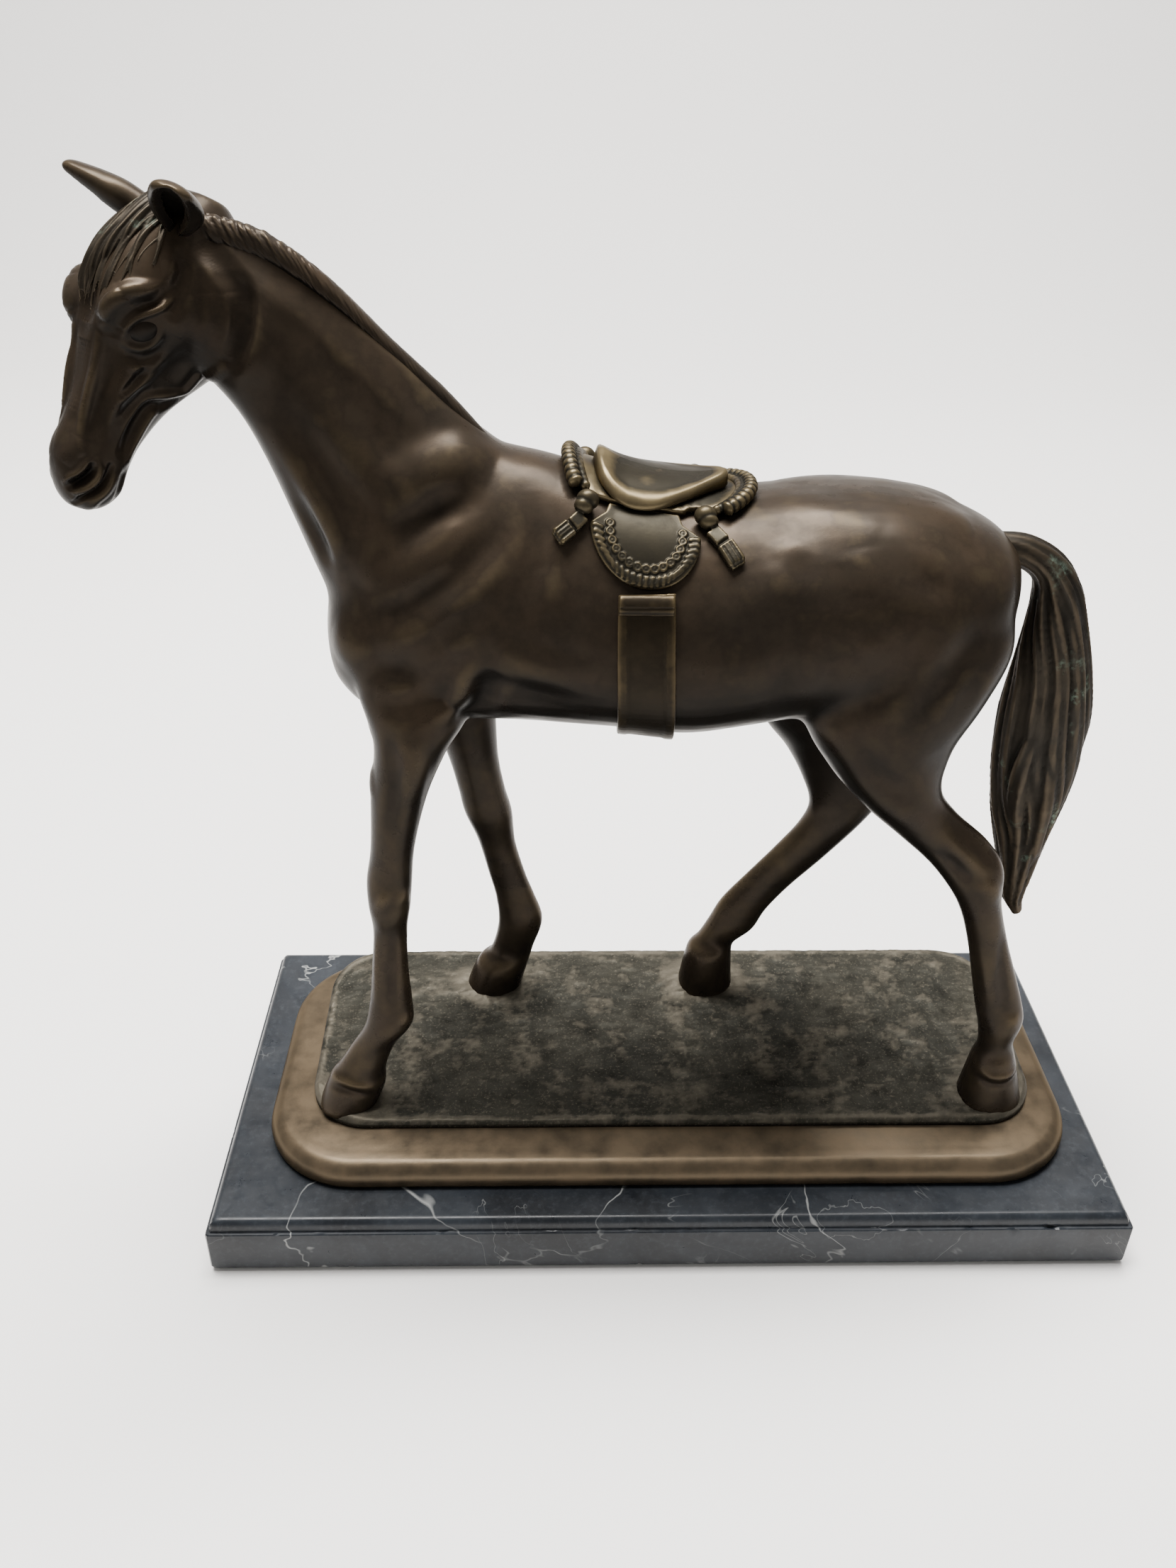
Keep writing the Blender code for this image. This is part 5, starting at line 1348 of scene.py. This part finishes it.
def tie(word, side, place_word, knob, line, finish):
    """Two stacked knobs with a flared cap, and a two-piece tassel strap hanging from them."""
    points = smooth_rows(line, 14)
    turns = side * turn_at(points[:, 0], points[:, 1])

    def shape(share):
        half, high = 2.35, 2.5
        if share > 0.46:
            half = 2.75
            high = 2.75 - 0.5 * max(0, (share - 0.85) / 0.15) ** 2
        if 0.42 < share < 0.50:
            half, high = 2.05, 1.7
        section = rounded_strap(half, LIE, LIE + high, 0.55, columns=13)
        if share > 0.5:
            section = [
                (offset, lift - 0.35 * (lift > LIE + 1) * (math.cos(offset * 5.0) > 0.35))
                for offset, lift in section
            ]
        if share > 0.96:
            section = [(offset * 0.8, LIE + (lift - LIE) * 0.7) for offset, lift in section]
        return section

    shells = [strap("strap", points[:, 0], turns, shape)]
    for share, radius, squash in ((0.42, 2.75, 0.85), (-0.04, 3.15, 0.95)):
        x = knob[0] + (line[0][0] - knob[0]) * share
        arc = knob[1] + (line[0][1] - knob[1]) * share
        lie = on_skin(x, arc, side, LIE + radius * 0.92)
        rise = np.linspace(-math.pi / 2, math.pi / 2, 17)
        ring = np.linspace(0, math.tau, 28, endpoint=False)
        ball = np.stack(
            [
                radius * 1.08 * np.cos(rise)[:, None] * np.cos(ring),
                radius * squash * np.cos(rise)[:, None] * np.sin(ring),
                radius * np.sin(rise)[:, None] * np.ones(28),
            ],
            -1,
        )
        shells.append(skin("knob", moved(ball, lie)))
    made = melt(join(f"{word}_{place_word}_tassel", shells), *VOXELS["tie"])
    finished(made, finish, "saddle_bronze", RUBS["tie"], f"{word}_{place_word}_tie")


def girth(finish):
    """The strap under the belly, and the folded keeper at each of its tops."""
    down = smooth_rows(GIRTH_LINE, 12)
    turns = turn_at(down[:, 0], down[:, 1])
    turns[-1] = math.pi
    x = np.concatenate([down[:, 0], down[-2::-1, 0]])
    whole = np.concatenate([-turns, turns[-2::-1] - math.tau])
    high = LIE + CLOTH - 0.3

    def section(share):
        return rounded_strap(GIRTH_HALF_WIDTH, LIE, high + 0.15, 0.5, 0.35, 17)

    made = strap("girth_strap", x, whole, section)
    melt(made, *VOXELS["girth"])
    finished(made, finish, "saddle_bronze", RUBS["girth"], "girth")
    for word, side in (("near", NEAR), ("off", OFF)):
        arcs = np.linspace(GIRTH_TOP + 0.3, GIRTH_TOP + 6.0, 26)
        centres = np.full(len(arcs), GIRTH_LINE[0][0])

        def fold(share):
            bulge = 1.5 * math.sqrt(max(math.sin(math.pi * min(share * 1.1, 1)), 0.0)) + 0.5
            if 0.62 < share < 0.72:
                bulge -= 0.7
            return rounded_strap(GIRTH_HALF_WIDTH - 0.3, high + 0.3, high + 0.6 + bulge, 0.45, 0, 13)

        keeper = strap(word + "_keeper_fold", centres, side * turn_at(centres, arcs), fold)
        melt(keeper, *VOXELS["keeper"])
        finished(keeper, finish, "saddle_bronze", RUBS["keeper"], word + "_girth_keeper")


# ---------------------------------------------------------------- ground, skirt and marble
PLINTH_LENGTH, PLINTH_DEPTH = 330.0, 153.0
PLINTH_BAND_TOP, PLINTH_TOP, PLINTH_STEP = 18.9, 23.5, 4.2
SKIRT_LENGTH, SKIRT_DEPTH, SKIRT_MIDDLE, SKIRT_CORNER = 300.0, 120.0, 1.5, 34.0
SKIRT_TOP, SKIRT_LEDGE, SKIRT_WALL = 35.2, 23.0, 4.0
GROUND_LENGTH, GROUND_MIDDLE, GROUND_CORNER = 272.0, 3.0, 22.0
GROUND_FRONT, GROUND_BACK, GROUND_LOW, GROUND_RISE = -42.0, 50.0, 38.0, 6.5
GROUND_UNDER, GROUND_GRID = 35.5, 1.0
FELT_THICKNESS, GAP = 0.8, 0.3
HOOVES = ((-119, -29), (-68, 31), (122, -29), (20, 31))


def grain(x, y, scale, seed, octaves=4):
    """Smooth noise between about -1 and 1 over arrays of places."""
    flat = [
        noise.fractal(Vector((a * scale, b * scale, seed)), 0.9, 2.1, octaves)
        for a, b in zip(np.ravel(x), np.ravel(y))
    ]
    return np.array(flat).reshape(np.shape(x))


def round_rectangle(half_x, half_y, radius, spacing=1.6, middle=(0, 0)):
    """The outline of a rectangle with round corners, evenly spaced, anticlockwise."""
    outline = []
    for x, y, start in ((1, -1, -90), (1, 1, 0), (-1, 1, 90), (-1, -1, 180)):
        for angle in np.radians(start + np.linspace(0, 90, 17)):
            corner = (x * (half_x - radius), y * (half_y - radius))
            outline.append((corner[0] + radius * math.cos(angle), corner[1] + radius * math.sin(angle)))
    around = 2 * math.pi * radius + 4 * (half_x + half_y - 2 * radius)
    count = int(round(around / spacing))
    return evened(np.array(outline), count) + np.array(middle)


def ground(finish):
    """The rough walking surface, raised at the back and swept up to the hooves."""
    half_x, half_y = GROUND_LENGTH / 2, (GROUND_BACK - GROUND_FRONT) / 2
    middle_y = (GROUND_BACK + GROUND_FRONT) / 2
    corner = GROUND_CORNER
    ends = corner * (1 - np.cos(np.radians(np.linspace(0, 90, 26)))) - half_x
    across = np.arange(ends[-1] + GROUND_GRID, -ends[-1], GROUND_GRID)
    rim = np.array([0, 0.25, 0.8, 1.5])
    rings, rubs = [], []
    for x in np.concatenate([ends, across, -ends[::-1]]):
        inward = max(corner - (half_x - abs(x)), 0)
        reach = half_y - corner + math.sqrt(max(corner**2 - inward**2, 0))
        inner = np.linspace(2.4 - reach, reach - 2.4, 118)
        y = np.concatenate([rim - reach, inner, (reach - rim)[::-1]])
        past_x = np.full(len(y), abs(x) - (half_x - corner))
        past_y = np.abs(y) - (half_y - corner)
        inside = corner - np.hypot(np.maximum(past_x, 0), np.maximum(past_y, 0))
        inside -= np.minimum(np.maximum(past_x, past_y), 0)
        x_of, y_of = np.full(len(y), x + GROUND_MIDDLE), y + middle_y
        rough = ground_grain(x_of, y_of)
        lip = np.exp(-(((inside - 1.9) / 1.2) ** 2))
        z = ground_height(x_of, y_of) - np.interp(inside, [0, 0.25, 0.8, 1.5], [1.2, 0.5, 0.12, 0])
        z += rough * np.interp(inside, [0, 1.5], [0.4, 1]) + 0.3 * lip
        top = np.stack([x_of, y_of, z], 1)
        under = top[[-1, 0]] * [1, 1, 0] + [0, 0, GROUND_UNDER]
        rings.append(np.vstack([top, under]))
        rubs.append(np.concatenate([1.5 * (rough + 0.1) + 0.9 * lip, [0, 0]]))
    made = skin("ground_turf", rings)
    shade_smooth(made)
    kept = made.data.attributes.new("rub", "FLOAT", "POINT")
    value = np.zeros(len(made.data.vertices), np.float32)
    value[: len(rubs) * len(rubs[0])] = np.tanh(np.concatenate(rubs))
    kept.data.foreach_set("value", value)
    place(made, finish, "ground_bronze", "ground_plate")


def ground_height(x, y):
    """The walking surface without its roughness."""
    share = np.clip((y - GROUND_FRONT) / (GROUND_BACK - GROUND_FRONT), 0, 1)
    return GROUND_LOW + GROUND_RISE * share * share * (3 - 2 * share)


def ground_grain(x, y):
    """Clods, combed streaks and grit, and the swell round each hoof."""
    bump = 0.45 * grain(x, y, 0.055, 3.0, 3) + 0.30 * grain(x, y, 0.19, 7.0, 3)
    streak = grain(x * 0.35 + y * 0.25, y - x * 0.12, 0.33, 11.0, 3)
    bump += 0.22 * streak + 0.26 * grain(x, y, 0.62, 19.0, 2)
    for hx, hy in HOOVES:
        away = np.hypot((x - hx) / 19.0, (y - hy) / 15.0)
        bump += 0.9 * np.exp(-((away - 0.55) ** 2) / 0.10) * (away < 2)
    return bump


def rectangle_rings(profile, half_x, half_y, corner, middle_x, spacing):
    """Rings of a round-cornered rectangle from (inset, height) points."""
    rings = []
    count = None
    for inset, z in profile:
        outline = round_rectangle(half_x - inset, half_y - inset, max(corner - inset, 0.6), spacing)
        if count is None:
            count = len(outline)
        outline = evened(outline, count)
        rings.append(np.column_stack([outline[:, 0] + middle_x, outline[:, 1], np.full(count, z)]))
    return np.array(rings)


def skirt(finish):
    """The bronze rim under the ground: a rolled outer edge, and a broad flat band."""
    foot = PLINTH_TOP + GAP
    rise = SKIRT_TOP - 1.2 - (foot + 3.0)
    profile = [(0.5, foot), (0.05, foot + 0.35), (-0.35, foot + 1.2), (-0.6, foot + 3.0)]
    for angle in np.linspace(8, 78, 9):
        turn = math.radians(angle)
        profile.append((7.0 * (1 - math.cos(turn)) - 0.6, foot + 3.0 + rise * math.sin(turn)))
    profile += [(7.8, SKIRT_TOP - 1.2), (9.5, SKIRT_TOP - 0.95), (13.0, SKIRT_TOP - 0.6)]
    profile += [(18.0, SKIRT_TOP - 0.2), (SKIRT_LEDGE, SKIRT_TOP)]
    profile += [(SKIRT_LEDGE, SKIRT_TOP - SKIRT_WALL), (11.0, SKIRT_TOP - SKIRT_WALL - 1)]
    profile += [(SKIRT_WALL + 1.0, foot + 4.0), (SKIRT_WALL, foot)]
    rings = rectangle_rings(
        profile, SKIRT_LENGTH / 2, SKIRT_DEPTH / 2, SKIRT_CORNER, SKIRT_MIDDLE, 1.5
    )
    made = skin("skirt_rim", rings, True)
    points = vertices(made)
    wave = grain(points[:, 0], points[:, 1] + points[:, 2] * 1.7, 0.05, 5.0, 3)
    lie = normals(made)
    move_vertices(made, points - lie * (0.13 * np.abs(wave) + 0.02)[:, None])
    finished(made, finish, "skirt_bronze", RUBS["skirt"], "base_skirt")


def marble(finish):
    """The slab: a plain band, a step and an ovolo up to the top, its edges a little chipped."""
    bottom = FELT_THICKNESS + GAP
    profile = [(1.4, bottom), (0.5, bottom + 0.2), (0.12, bottom + 0.9), (0.0, bottom + 1.8)]
    profile += [(0.0, z) for z in np.linspace(5, PLINTH_BAND_TOP - 1.0, 5)]
    profile += [(0.1, PLINTH_BAND_TOP - 0.35), (0.4, PLINTH_BAND_TOP - 0.05), (0.9, PLINTH_BAND_TOP)]
    profile += [(1.3, PLINTH_BAND_TOP), (1.42, PLINTH_BAND_TOP + 0.15)]
    reach, height = PLINTH_STEP - 1.4, PLINTH_TOP - PLINTH_BAND_TOP
    for angle in np.linspace(4, 86, 9):
        turn = math.radians(angle)
        inset = 1.4 + reach * (1 - math.cos(turn))
        profile.append((inset, PLINTH_BAND_TOP + 0.6 + (height - 0.6) * math.sin(turn)))
    profile += [(4.6, PLINTH_TOP), (7.0, PLINTH_TOP), (16.0, PLINTH_TOP), (40.0, PLINTH_TOP)]
    rings = rectangle_rings(profile, PLINTH_LENGTH / 2, PLINTH_DEPTH / 2, 0.8, 0.0, 1.3)
    made = skin("marble_slab", rings)
    points, lie = vertices(made), normals(made)
    x, y, z = points.T
    chip = np.clip(grain(x + z * 2.3, y + z * 3.1, 0.21, 23.0, 3) - 0.55, 0, 0.6)
    rim = np.exp(-((z - PLINTH_BAND_TOP) / 1.1) ** 2) + np.exp(-((z - bottom - 0.6) / 1.0) ** 2)
    move_vertices(made, points - lie * (chip * rim * 2.2)[:, None])
    shade_smooth(made)
    made.data.set_sharp_from_angle(angle=math.radians(28))
    place(made, finish, "marble", "marble_plinth")


# ---------------------------------------------------------------- finishes
class Finish:
    """A node material built up from the object's own coordinates and its rub attribute."""

    def __init__(self, name, **fixed):
        self.made = bpy.data.materials.new(name)
        self.made.use_nodes = True
        self.tree = self.made.node_tree
        self.shader = self.tree.nodes["Principled BSDF"]
        for socket, value in fixed.items():
            self.shader.inputs[socket.replace("_", " ")].default_value = value
        self.place = self.tree.nodes.new("ShaderNodeTexCoord").outputs["Object"]

    def node(self, kind, **settings):
        made = self.tree.nodes.new(kind)
        for key, value in settings.items():
            setattr(made, key, value)
        return made

    def put(self, socket, value):
        if isinstance(value, bpy.types.NodeSocket):
            self.tree.links.new(value, socket)
        else:
            socket.default_value = value

    def stretched(self, scale, turn=(0, 0, 0)):
        """The object's coordinates turned, and stretched along each axis."""
        node = self.node("ShaderNodeMapping")
        self.put(node.inputs["Vector"], self.place)
        node.inputs["Rotation"].default_value = turn
        node.inputs["Scale"].default_value = scale
        return node.outputs["Vector"]

    def noise(self, size, detail=4.0, rough=0.55, place=None, warp=0.0):
        """Noise whose features are about size millimetres."""
        node = self.node("ShaderNodeTexNoise")
        self.put(node.inputs["Vector"], place or self.place)
        node.inputs["Scale"].default_value = 1 / (size * MM)
        node.inputs["Detail"].default_value = detail
        node.inputs["Roughness"].default_value = rough
        node.inputs["Distortion"].default_value = warp
        return node.outputs[0]

    def upward(self):
        """How far the surface faces up: 1 on top and -1 beneath."""
        lie = self.node("ShaderNodeNewGeometry").outputs["Normal"]
        parts = self.node("ShaderNodeSeparateXYZ")
        self.put(parts.inputs[0], lie)
        return parts.outputs["Z"]

    def value(self, name):
        """An attribute that the mesh carries."""
        return self.node("ShaderNodeAttribute", attribute_name=name).outputs["Fac"]

    def span(self, value, low, high, to_low=0.0, to_high=1.0):
        """A value stretched from one range to another, and held inside it."""
        node = self.node("ShaderNodeMapRange")
        self.put(node.inputs["Value"], value)
        for name, number in (("From Min", low), ("From Max", high), ("To Min", to_low),
        ("To Max", to_high)):
            node.inputs[name].default_value = number
        return node.outputs["Result"]

    def sum(self, a, b, operation="ADD"):
        node = self.node("ShaderNodeMath", operation=operation)
        self.put(node.inputs[0], a)
        self.put(node.inputs[1], b)
        return node.outputs[0]

    def mix(self, share, a, b, blend="MIX"):
        node = self.node("ShaderNodeMix", data_type="RGBA", blend_type=blend)
        self.put(node.inputs[0], share)
        for socket, value in ((node.inputs[6], a), (node.inputs[7], b)):
            self.put(socket, (*value, 1.0) if isinstance(value, tuple) else value)
        return node.outputs[2]

    def bump(self, height, strength, distance, after=None):
        node = self.node("ShaderNodeBump")
        node.inputs["Strength"].default_value = strength
        node.inputs["Distance"].default_value = distance * MM
        self.put(node.inputs["Height"], height)
        if after:
            self.put(node.inputs["Normal"], after)
        return node.outputs["Normal"]

    def to(self, **sockets):
        for socket, value in sockets.items():
            self.put(self.shader.inputs[socket.replace("_", " ")], value)
        return self.made


def patina(name, deep, body, worn, bright, metal, rough, verdigris=0.0, grit=0.0, under=0.0):
    """Bronze: dark in its grooves, brown on its fields, and rubbed to warm metal where it is proud; with
    under, painted shade darkens the faces that turn down.
    """
    made = Finish(name, Metallic=metal, Specular_IOR_Level=0.14, Specular_Tint=(0.35, 0.33, 0.30, 1))
    rub_value = made.value("rub")
    broad = made.noise(38, 3.0, 0.5, warp=0.6)
    cloud = made.noise(11, 5.0, 0.6)
    fine = made.noise(1.7, 5.0, 0.7)
    colour = made.mix(made.span(broad, 0.35, 0.68), body, worn)
    colour = made.mix(made.span(cloud, 0.42, 0.72, 0.0, 0.55), colour, deep)
    proud = made.sum(rub_value, made.span(cloud, 0.3, 0.7, -0.35, 0.35))
    colour = made.mix(made.span(proud, 0.2, 1.2, 0.0, 0.8), colour, bright)
    colour = made.mix(made.span(rub_value, -0.15, -1.0, 0.0, 0.9), colour, deep)
    # painted shade: faces that turn down are mixed towards the deep colour by the under share, as if they
    # lay in shadow beneath
    if under:
        colour = made.mix(made.span(made.upward(), 0.55, -0.45, 0.0, under), colour, deep)
    speck = made.span(fine, 0.60, 0.78, 0.0, 0.2)
    colour = made.mix(speck, colour, deep)
    if grit:
        colour = made.mix(made.span(made.noise(0.9, 4.0, 0.7), 0.55, 0.75, 0.0, 2 * grit), colour, bright)
    metallic = None
    if verdigris:
        patch = made.span(made.noise(16, 4, 0.6), 0.60, 0.70)
        where = made.sum(patch, made.span(fine, 0.42, 0.6), "MULTIPLY")
        where = made.sum(where, verdigris, "MULTIPLY")
        colour = made.mix(where, colour, VERDIGRIS)
        metallic = made.span(where, 0.0, 1.0, metal, 0.1)
    roughness = made.sum(made.span(cloud, 0.3, 0.7, *rough), made.span(rub_value, -1.0, 1.0, 0.10, -0.08))
    relief = made.sum(made.noise(0.9, 4.0, 0.6), made.sum(made.noise(5.0, 3.0, 0.5), 0.8, "MULTIPLY"))
    normal = made.bump(relief, 0.12 + grit, 0.12)
    if metallic:
        made.to(Metallic=metallic)
    return made.to(Base_Color=colour, Roughness=roughness, Normal=normal)


# Each bronze's deep, body, worn and bright colours, how metallic it is, and its least and most rough; under
# is how much painted shade darkens its faces that turn down.
BRONZES = {
    "horse_bronze": dict(
        deep=(0.0045, 0.0042, 0.0040), body=(0.030, 0.0235, 0.0175), worn=(0.042, 0.0300, 0.0200),
        # under: painted shade on the horse's faces that turn down, such as its belly
        bright=(0.110, 0.082, 0.048), metal=0.4, rough=(0.27, 0.38), under=0.92,
    ),
    "hair_bronze": dict(
        deep=(0.006, 0.0058, 0.005), body=(0.022, 0.0195, 0.0165), worn=(0.032, 0.026, 0.019),
        bright=(0.090, 0.070, 0.048), metal=0.6, rough=(0.40, 0.56), verdigris=0.5,
    ),
    "saddle_bronze": dict(
        deep=(0.006, 0.0056, 0.0048), body=(0.021, 0.0192, 0.0150), worn=(0.031, 0.0268, 0.0185),
        bright=(0.170, 0.132, 0.072), metal=0.65, rough=(0.32, 0.46),
    ),
    "girth_bronze": dict(
        deep=(0.0045, 0.0042, 0.0038), body=(0.018, 0.0142, 0.0102), worn=(0.030, 0.0225, 0.0135),
        # under: painted shade on the girth's faces that turn down
        bright=(0.115, 0.085, 0.044), metal=0.5, rough=(0.32, 0.44), under=0.7,
    ),
    "skirt_bronze": dict(
        deep=(0.011, 0.010, 0.008), body=(0.029, 0.0262, 0.0205), worn=(0.042, 0.036, 0.027),
        bright=(0.14, 0.105, 0.068), metal=0.7, rough=(0.40, 0.56), grit=0.05,
    ),
    "ground_bronze": dict(
        deep=(0.0055, 0.0058, 0.005), body=(0.023, 0.0226, 0.0186), worn=(0.033, 0.0310, 0.0242),
        bright=(0.125, 0.110, 0.084), metal=0.4, rough=(0.46, 0.66), grit=0.35,
    ),
}
VERDIGRIS = (0.17, 0.24, 0.19)
MARBLE_VEIN = (0.42, 0.43, 0.42)


def bronze(name):
    """One of the bronzes."""
    return patina(name, **BRONZES[name])


def marble_finish():
    """Near-black stone, clouded, with thin broken veins."""
    made = Finish("marble", Specular_IOR_Level=0.3)
    cloud = made.noise(45, 6.0, 0.62, warp=1.2)
    colour = made.mix(made.span(cloud, 0.35, 0.7), (0.0065, 0.0080, 0.0105), (0.019, 0.023, 0.029))
    fine = made.noise(2.2, 5.0, 0.7)
    colour = made.mix(made.span(fine, 0.5, 0.8, 0, 0.5), colour, (0.042, 0.048, 0.056))
    for size, thin, share, turn in ((130, 0.0040, 0.6, (0.4, 0.9, 0.3)),
        (80, 0.0024, 0.3, (1.1, 0.2, 1.9))):
        place = made.stretched((1, 1, 1), turn)
        wander = made.noise(size, 5.0, 0.55, place, 0.8)
        line = made.sum(made.sum(wander, 0.5, "SUBTRACT"), 0.0, "ABSOLUTE")
        vein = made.span(line, 0.0, thin, 1.0, 0.0)
        broken = made.span(made.noise(30, 3.0, 0.5, place), 0.45, 0.62)
        shown = made.sum(made.sum(vein, broken, "MULTIPLY"), share, "MULTIPLY")
        colour = made.mix(shown, colour, MARBLE_VEIN)
    rough = made.span(made.noise(9, 5.0, 0.7), 0.3, 0.7, 0.26, 0.46)
    normal = made.bump(fine, 0.06, 0.08)
    return made.to(Base_Color=colour, Roughness=rough, Normal=normal)


def felt_finish():
    made = Finish("green_felt", Roughness=0.95, Sheen_Weight=0.4)
    fibre = made.noise(0.6, 5.0, 0.8, made.stretched((1, 1, 0.4)))
    colour = made.mix(fibre, (0.008, 0.030, 0.016), (0.030, 0.075, 0.045))
    return made.to(Base_Color=colour, Normal=made.bump(fibre, 0.6, 0.3))


def steel_finish():
    made = Finish("zinc_steel", Metallic=1.0)
    fine = made.noise(1.2, 4.0, 0.6)
    colour = made.mix(fine, (0.32, 0.33, 0.34), (0.58, 0.58, 0.57))
    rough = made.span(fine, 0.3, 0.7, 0.28, 0.45)
    return made.to(Base_Color=colour, Roughness=rough, Normal=made.bump(fine, 0.2, 0.1))


# ---------------------------------------------------------------- stage, light and camera
CAMERA_SPOT = (-40.74, -387.59, 396.83)
CAMERA_DOWN, CAMERA_TURN, CAMERA_ROLL = 0.552, -0.027, 0.014
FOCAL_LENGTH, SENSOR = 30.11, 36.0
SURROUND, SURROUND_STRENGTH = (1.0, 0.985, 0.965, 1.0), 0.38
# a light's name, place, aim, size, power and colour
LIGHTS = (
    ("ceiling", (-0.1, 0.35, 1.9), (0, 0.1, 0.1), (1.5, 0.75), 128.0, (1.0, 0.985, 0.965)),
    ("strip", (-0.15, 0.10, 1.2), (0, 0, 0.2), (0.6, 0.18), 7.0, (1.0, 0.98, 0.95)),
)


def camera():
    """The camera that the photograph was taken from."""
    data = bpy.data.cameras.new("camera")
    data.lens, data.sensor_width, data.sensor_fit = FOCAL_LENGTH, SENSOR, "AUTO"
    data.clip_start, data.clip_end = 0.01, 100.0
    made = linked("camera", data)
    down, roll = CAMERA_DOWN, CAMERA_ROLL
    level = Vector((1, 0, 0))
    rise = Vector((0, math.sin(down), math.cos(down)))
    ahead = Vector((0, math.cos(down), -math.sin(down)))
    right = math.cos(roll) * level + math.sin(roll) * rise
    up = -math.sin(roll) * level + math.cos(roll) * rise
    turn = Matrix.Rotation(CAMERA_TURN, 4, "Z") @ frame_at(right, up, -ahead, Vector())
    made.matrix_world = Matrix.Translation(Vector(CAMERA_SPOT) * MM) @ turn
    bpy.context.scene.camera = made


def soft_light(name, spot, aim, size, power, colour):
    data = bpy.data.lights.new(name, "AREA")
    data.shape, data.size, data.size_y = "RECTANGLE", size[0], size[1]
    data.energy, data.color = power, colour
    made = linked(name, data)
    made.location = spot
    made.rotation_euler = (Vector(aim) - Vector(spot)).to_track_quat("-Z", "Y").to_euler()


def stage():
    """A pale floor that sweeps up behind, an even pale surround, and soft lights."""
    width, front, bend, back = 4.0, -3.0, 1.1, 0.8
    profile = [(front, 0.0), (bend, 0.0)]
    for angle in np.radians(np.linspace(0, 90, 25))[1:]:
        profile.append((bend + back * math.sin(angle), back * (1 - math.cos(angle))))
    profile.append((bend + back, 4.0))
    mesh = bpy.data.meshes.new("floor")
    points, faces = [], []
    for k, (y, z) in enumerate(profile):
        points += [(-width, y, z), (width, y, z)]
        if k:
            faces.append((2 * k - 2, 2 * k - 1, 2 * k + 1, 2 * k))
    mesh.from_pydata(points, [], faces)
    floor = linked("floor", mesh)
    shade_smooth(floor)
    cloth = Finish("floor_cloth", Roughness=0.85)
    weave = cloth.noise(3.0, 4.0, 0.6)
    colour = cloth.mix(cloth.noise(400, 2.0, 0.5), (0.90, 0.88, 0.86), (0.93, 0.92, 0.905))
    cloth.to(Base_Color=colour, Normal=cloth.bump(weave, 0.08, 0.4))
    mesh.materials.append(cloth.made)
    world = bpy.data.worlds.new("surround")
    world.use_nodes = True
    shade = world.node_tree.nodes["Background"]
    shade.inputs["Color"].default_value = SURROUND
    shade.inputs["Strength"].default_value = SURROUND_STRENGTH
    bpy.context.scene.world = world
    for light in LIGHTS:
        soft_light(*light)


def hidden_parts():
    """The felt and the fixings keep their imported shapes."""
    felt, steel = felt_finish(), steel_finish()
    for name, node in frame["nodes"].items():
        finish = felt if name == "felt_underlay" else steel
        if name == "felt_underlay" or name.startswith(("fixing_stud", "washer", "nut")):
            for held in node.material_slots:
                held.material = finish


def main():
    """Every piece, in the order that it is made."""
    camera()
    stage()
    horse_metal, hair, saddle = bronze("horse_bronze"), bronze("hair_bronze"), bronze("saddle_bronze")
    head_tree = horse(horse_metal)
    ears(horse_metal)
    tail(hair)
    mane(horse_metal)
    forelock(hair, head_tree)
    blanket(saddle)
    seat(saddle)
    fringe("front_fringe", FRONT_ROLL, "front_fringe_roll", saddle, 1)
    fringe("rear_fringe", REAR_ROLL, "rear_fringe_roll", saddle, -1)
    for word, side in (("near", NEAR), ("off", OFF)):
        flap(word, side, saddle)
        for place_word, knob, line in TIES:
            tie(word, side, place_word, knob, line, saddle)
    girth(bronze("girth_bronze"))
    ground(bronze("ground_bronze"))
    skirt(bronze("skirt_bronze"))
    marble(marble_finish())
    hidden_parts()


main()
bpy.context.view_layer.update()
